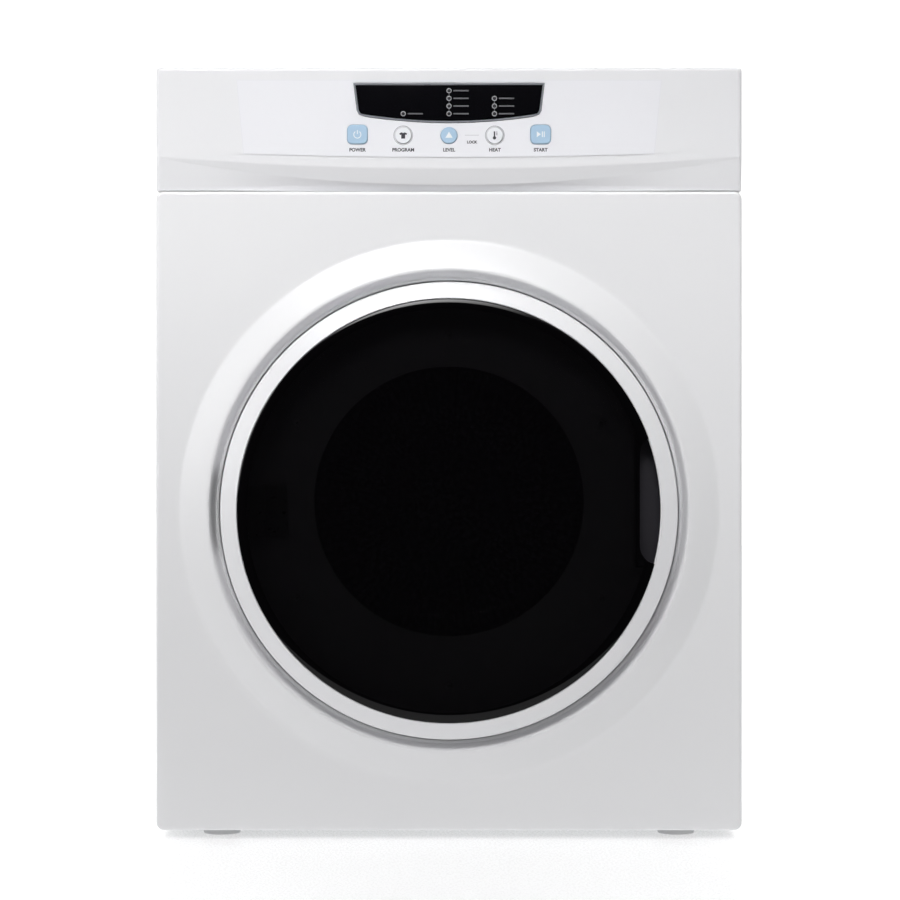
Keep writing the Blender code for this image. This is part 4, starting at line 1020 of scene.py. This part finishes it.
def stroke(points, width):
    """Outline of a line of even width through (x, z) points."""
    left = []
    right = []
    path = [Vector(point) for point in points]
    for before, point, after in zip(path[:1] + path, path, path[1:] + path[-1:]):
        heading = (after - before).normalized()
        across = Vector((-heading.y, heading.x)) * width / 2
        left.append(tuple(point + across))
        right.append(tuple(point - across))
    return left + right[::-1]


def icon_outlines(name):
    """Generic symbol of a button, about its centre, as outlines to fill."""
    line = 0.0009
    if name == "power_button":
        hook = arc((0, -0.0003), 0.0036, 125, 415, 24)
        return [stroke(hook, line), stroke([(0, 0.0002), (0, 0.0042)], line)]
    if name == "program_button":
        right_side = [(0.0020, -0.0034), (0.0020, 0.0008), (0.0032, 0.0002), (0.0040, 0.0018),
                      (0.0016, 0.0030)]
        left_side = [(-x, z) for x, z in right_side[::-1]]
        return [left_side + right_side + [(0.0, 0.0022)]]
    if name == "level_button":
        return [[(-0.0038, -0.0026), (0.0038, -0.0026), (0.0, 0.0036)]]
    if name == "heat_button":
        bulb = circle(0.0017, 20, (-0.0004, -0.0026))
        stem = rectangle(-0.0011, -0.0016, 0.0003, 0.0040)
        return [bulb, stem] + [rectangle(0.0011, z, 0.0027, z + 0.0005) for z in (0.0002, 0.0016, 0.0030)]
    triangle = [(-0.0040, -0.0030), (0.0002, 0.0), (-0.0040, 0.0030)]
    return [triangle] + [rectangle(x, -0.0029, x + 0.0010, 0.0029) for x in (0.0012, 0.0031)]


def build_buttons():
    """Button caps with rounded edges and their symbols."""
    cap_front = 0.0022
    for name, x, z, shape in button_layout():
        white = name in ("program_button", "heat_button")
        cap = pad(lambda grow, form=shape, at=(x, z): moved(button_outline(form, grow), at),
                  cap_front, -0.0038, 0.0009)
        flange = prism(moved(button_outline(shape, 0.0014), (x, z)), -0.0042, -0.0030)
        stem = revolve([(0, -0.0035), (0.002, -0.0035), (0.002, -0.0080), (0, -0.0080)],
                       (x, z), 16, False)
        material, slot = ("button_white", "button_white") if white else ("blue", "button_blue")
        piece = add_piece(name + "_cap", merge([cap, flange, stem]), material, name, [name])
        keep_flats(piece)
        symbols = [flat_fill([moved(outline, (x, z))], cap_front + 0.00006, cap_front - 0.0001)
                   for outline in icon_outlines(name)]
        add_group(name + "_symbol", symbols, "print_black" if white else "print_white", name)


# ---- door ----

def build_door():
    """White ring, domed black glass, liner, inner window and gasket."""
    notch_low = AXIS_Z - 0.040
    notch_high = AXIS_Z + 0.040
    ring = [
        (GLASS_RADIUS + 0.0003, 0.0226), (GLASS_RADIUS + 0.0003, 0.0250), (GLASS_RADIUS + 0.0010, 0.0257),
        (0.2200, 0.0238), (0.2270, 0.0214), (0.2290, 0.0206), (0.2300, 0.0201), (0.2306, 0.0194),
        (0.2309, 0.0186), (DOOR_RADIUS, 0.0176), (DOOR_RADIUS, -0.0076), (0.2306, -0.008), (0.2279, -0.008),
        (0.2275, -0.0076), (0.2275, 0.0145), (0.206, 0.0195), (0.206, 0.0226),
    ]
    piece = add_skin("door_ring", revolve(ring), "white_plastic", "door")
    add_cut(piece, block((-0.25, -0.02, notch_low), (-0.205, 0.0176, notch_high)))
    rim = GLASS_RADIUS - 0.0002
    lowest = math.degrees(math.asin((POCKET_LOW - AXIS_Z) / rim))
    highest = math.degrees(math.asin((POCKET_HIGH - AXIS_Z) / rim))
    pocket_side = 0.1905
    behind_pocket = [(pocket_side, POCKET_LOW)] + arc(DOOR_CENTRE, rim, lowest, highest, 16)
    behind_pocket.append((pocket_side, POCKET_HIGH))
    add_cut(piece, prism(behind_pocket, 0.0229, 0.010))

    radii = [GLASS_RADIUS * share / 24 for share in range(24)]
    outer = [(radius, glass_forward(radius)) for radius in radii]
    outer += [(GLASS_RADIUS - 0.0008, glass_forward(GLASS_RADIUS) + 0.00002),
              (GLASS_RADIUS - 0.0002, 0.0257), (GLASS_RADIUS, 0.0252)]
    inner = [(GLASS_RADIUS, 0.0232)] + [(radius, glass_forward(radius) - 0.003) for radius in radii[::-1]]
    dome = revolve(outer + inner, closed=False)
    glass = add_skin("door_glass", dome, "tinted_glass", "door")
    opening = rounded_outline(0.040, POCKET_HIGH - POCKET_LOW, 0.019,
                              centre=(0.212, (POCKET_LOW + POCKET_HIGH) / 2))
    add_cut(glass, prism(opening, 0.040, 0.015))

    liner = [
        (0.2272, -0.0019), (0.2272, -0.0045), (0.1712, -0.0045), (0.1702, -0.0060), (0.1700, -0.0290),
        (0.1692, -0.0310), (0.1675, -0.0320), (0.1560, -0.0320), (0.1550, -0.0314), (0.1550, -0.0295),
        (0.1665, -0.0295), (0.1672, -0.0045), (0.120, -0.0045), (0.120, -0.0015), (0.2268, -0.0015),
    ]
    liner_piece = add_skin("door_liner", revolve(liner), "liner", "door")
    through = [(0, 0.01), (WINDOW_RADIUS, 0.01), (WINDOW_RADIUS, -0.0275), (0, -0.0275)]
    add_cut(liner_piece, revolve(through, (0, WINDOW_Z), closed=False))
    add_cut(liner_piece, block((-0.25, -0.02, notch_low), (-0.203, 0.01, notch_high)))
    bowl = WINDOW_RADIUS - 0.0105
    window = [
        (0, -0.0325), (bowl - 0.040, -0.0320), (bowl - 0.013, -0.0310), (bowl - 0.0055, -0.0285),
        (bowl - 0.0022, -0.0250), (bowl - 0.0005, -0.0050), (0.146, -0.0050), (0.146, -0.0072),
        (bowl + 0.002, -0.0072), (bowl, -0.0260), (bowl - 0.0035, -0.0300), (bowl - 0.012, -0.0330),
        (bowl - 0.040, -0.0341), (0, -0.0345),
    ]
    add_skin("door_window", revolve(window, (0, WINDOW_Z), closed=False), "window", "door")
    gasket = [
        (0.1890, -0.0049), (0.1886, -0.0100), (0.1876, -0.0150), (0.1870, -0.0190), (0.1860, -0.0196),
        (0.1852, -0.0192), (0.1846, -0.0150), (0.1832, -0.0090), (0.1820, -0.0049),
    ]
    add_skin("door_gasket", revolve(gasket), "rubber", "door")
    add_screws("liner_screws", arc(DOOR_CENTRE, 0.178, 30, 330, 5), -0.0015, 1, "door")


# ---- drum and lint filter ----

def build_drum():
    """Stainless drum with rolled edges, perforations and three rounded lifters."""
    shell = 0.0008
    inner = DRUM_RADIUS - shell
    neck = 0.1962
    floor = DRUM_REAR + shell
    section = [
        (0, floor), (0.060, floor), (0.064, floor + 0.002), (0.180, floor + 0.002), (0.184, floor),
        (inner - 0.006, floor), (inner - 0.0018, floor + 0.0018), (inner, floor + 0.006),
        (inner, DRUM_FRONT - shell - 0.004), (inner - 0.004, DRUM_FRONT - shell), (neck + 0.004, -0.0636),
        (neck, -0.0600), (neck, -0.0512), (neck + shell / 2, -0.0510), (neck + shell, -0.0512),
        (neck + shell, -0.0624), (DRUM_RADIUS - 0.004, DRUM_FRONT + 0.0003),
        (DRUM_RADIUS, DRUM_FRONT - 0.003), (DRUM_RADIUS, DRUM_REAR + 0.004),
        (DRUM_RADIUS - 0.003, DRUM_REAR), (0, DRUM_REAR),
    ]
    add_skin("drum_shell", revolve(section, closed=False), "drum_steel", "drum")
    flank = [(0.034, 0.2495), (0.0325, 0.2470), (0.0270, 0.2370), (0.0205, 0.2180), (0.0140, 0.2040),
             (0.0090, 0.1975), (0.0045, 0.1958)]
    rise = [(-0.034, 0.2495)] + flank + [(-x, up) for x, up in flank[:0:-1]]
    for number in range(3):
        turn = -math.radians(120 * number + 60)
        outline = [(x * math.cos(turn) - up * math.sin(turn),
                    AXIS_Z + x * math.sin(turn) + up * math.cos(turn)) for x, up in rise]
        mesh = prism(outline, DRUM_REAR + 0.012, DRUM_FRONT - 0.020)
        name = "drum_baffle_" + str(number + 1)
        piece = add_skin(name, mesh, "grey", "drum")
        ease_edges(piece, 0.0035, 4)


def build_filter():
    """Lint filter: a frame with a gauze window."""
    half_width = 0.074
    low = 0.064
    sill = OPENING_RADIUS - 0.0005
    half = math.degrees(math.asin(half_width / sill))
    outline = [(-half_width, low), (half_width, low)] + arc(DOOR_CENTRE, sill, 270 + half, 270 - half, 32)
    window = rounded_outline(0.130, 0.062, 0.008, centre=(0, 0.106))
    frame_mesh = flat_fill([outline, window], -0.0370, -0.0450)
    piece = add_piece("lint_filter_frame", frame_mesh, "blue", "filter", ["lint_filter"])
    ease_edges(piece, 0.0006)
    add_piece("lint_filter_gauze", flat_fill([window], -0.0402, -0.0410), "gauze", "filter")


# ---- CAD parts shown as they are, with their finishes ----

PLAIN_FINISHES = {
    "galvanised": ["base_pan", "rear_panel", "front_bulkhead", "rear_bulkhead", "motor_bracket",
                   "exhaust_duct", "heater_housing"],
    "steel": ["hinge_bracket", "hinge_pin", "hinge_arm", "door_hook", "shaft_bearing", "motor",
              "motor_shaft", "tension_arm", "tension_spring", "drum_shaft"],
    "grey": ["door_latch", "blower_housing", "blower_wheel", "lint_duct", "tension_pulley"],
    "dark": ["power_inlet", "door_handle"],
    "rubber": ["drive_belt", "support_roller_left", "support_roller_right"],
    "felt": ["front_seal", "rear_seal"],
    "board": ["control_board"],
    "heater_wire": ["heater_coil"],
}


def dress_plain_parts():
    """Give the CAD parts that show as they are a procedural finish and eased edges."""
    eased = {"hinge_bracket", "hinge_arm", "door_hook", "power_inlet", "door_latch", "door_handle"}
    for material, names in PLAIN_FINISHES.items():
        for name in names:
            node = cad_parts[name]
            node.data.materials.clear()
            node.data.materials.append(MATERIALS[material])
            if name in eased:
                ease_edges(node, 0.0005)


# ---- room ----

# brightness of the surroundings from straight ahead of the dryer (0) to straight behind it (1)
WORLD_STOPS = [(0.0, 0.035), (0.13, 0.05), (0.35, 0.42), (0.90, 0.50), (0.97, 1.0)]


def build_world():
    """White surroundings behind the dryer, grey beside it and dark before it, so the glass stays black."""
    world = bpy.data.worlds.new("studio")
    bpy.context.scene.world = world
    world.use_nodes = True
    nodes = world.node_tree.nodes
    links = world.node_tree.links
    place = nodes.new("ShaderNodeTexCoord")
    split = nodes.new("ShaderNodeSeparateXYZ")
    links.new(place.outputs["Generated"], split.inputs["Vector"])
    turn = nodes.new("ShaderNodeMapRange")
    turn.inputs["From Min"].default_value = -1.0
    links.new(split.outputs["Y"], turn.inputs["Value"])
    ramp = nodes.new("ShaderNodeValToRGB")
    links.new(turn.outputs["Result"], ramp.inputs["Fac"])
    stops = ramp.color_ramp.elements
    while len(stops) < len(WORLD_STOPS):
        stops.new(0.5)
    for stop, (position, grey) in zip(stops, WORLD_STOPS):
        stop.position = position
        stop.color = (grey, grey, grey, 1)
    links.new(ramp.outputs["Color"], nodes["Background"].inputs["Color"])
    nodes["Background"].inputs["Strength"].default_value = 1.2


def add_area_light(name, place, target, width, height, power, spread=180):
    """A soft box that faces a point; a small spread keeps its light in a narrow beam."""
    light = bpy.data.lights.new(name, "AREA")
    light.shape = "RECTANGLE"
    light.size = width
    light.size_y = height
    light.energy = power
    light.spread = math.radians(spread)
    lamp = bpy.data.objects.new(name, light)
    lamp.location = place
    lamp.rotation_euler = (Vector(target) - Vector(place)).to_track_quat("-Z", "Y").to_euler()
    bpy.context.scene.collection.objects.link(lamp)


def build_room():
    """Floor, soft boxes and camera."""
    bm = bmesh.new()
    bm.faces.new([bm.verts.new((x, y, 0)) for x, y in rectangle(-5, -0.72, 5, 9)])
    mesh = plain_mesh(bm)
    mesh.materials.append(make_light("floor_paint", (0.90, 0.90, 0.90), 0.41))
    floor = bpy.data.objects.new("floor", mesh)
    bpy.context.scene.collection.objects.link(floor)
    add_area_light("key_light", (-0.10, -1.40, 1.55), (0, -0.25, 0.50), 2.4, 0.5, 6.0)
    add_area_light("upper_light", (-0.18, -1.45, 1.45), (0, -0.25, 0.61), 2.4, 0.5, 3.2, 40)
    add_area_light("left_light", (-1.6, -1.6, 0.9), (0, -0.25, 0.45), 0.5, 0.9, 7)
    add_area_light("top_light", (0, 0.9, 2.6), (0, 0.9, 0), 3.0, 2.0, 14)
    camera_data = bpy.data.cameras.new("camera")
    camera_data.sensor_width = 36
    camera_data.lens = 118.2
    camera = bpy.data.objects.new("camera", camera_data)
    camera.location = (0.001, FRONT_Y - 3.0, 0.3963)
    camera.rotation_euler = (math.radians(90), 0, 0)
    bpy.context.scene.collection.objects.link(camera)
    bpy.context.scene.camera = camera
    bpy.context.scene.view_settings.view_transform = "Standard"


build_front_panel()
build_side_panels()
build_top_panel()
build_back()
build_drum_collar()
build_feet()
build_fascia()
build_film()
build_display()
build_print()
build_indicators()
build_buttons()
build_door()
build_drum()
build_filter()
dress_plain_parts()
build_world()
build_room()
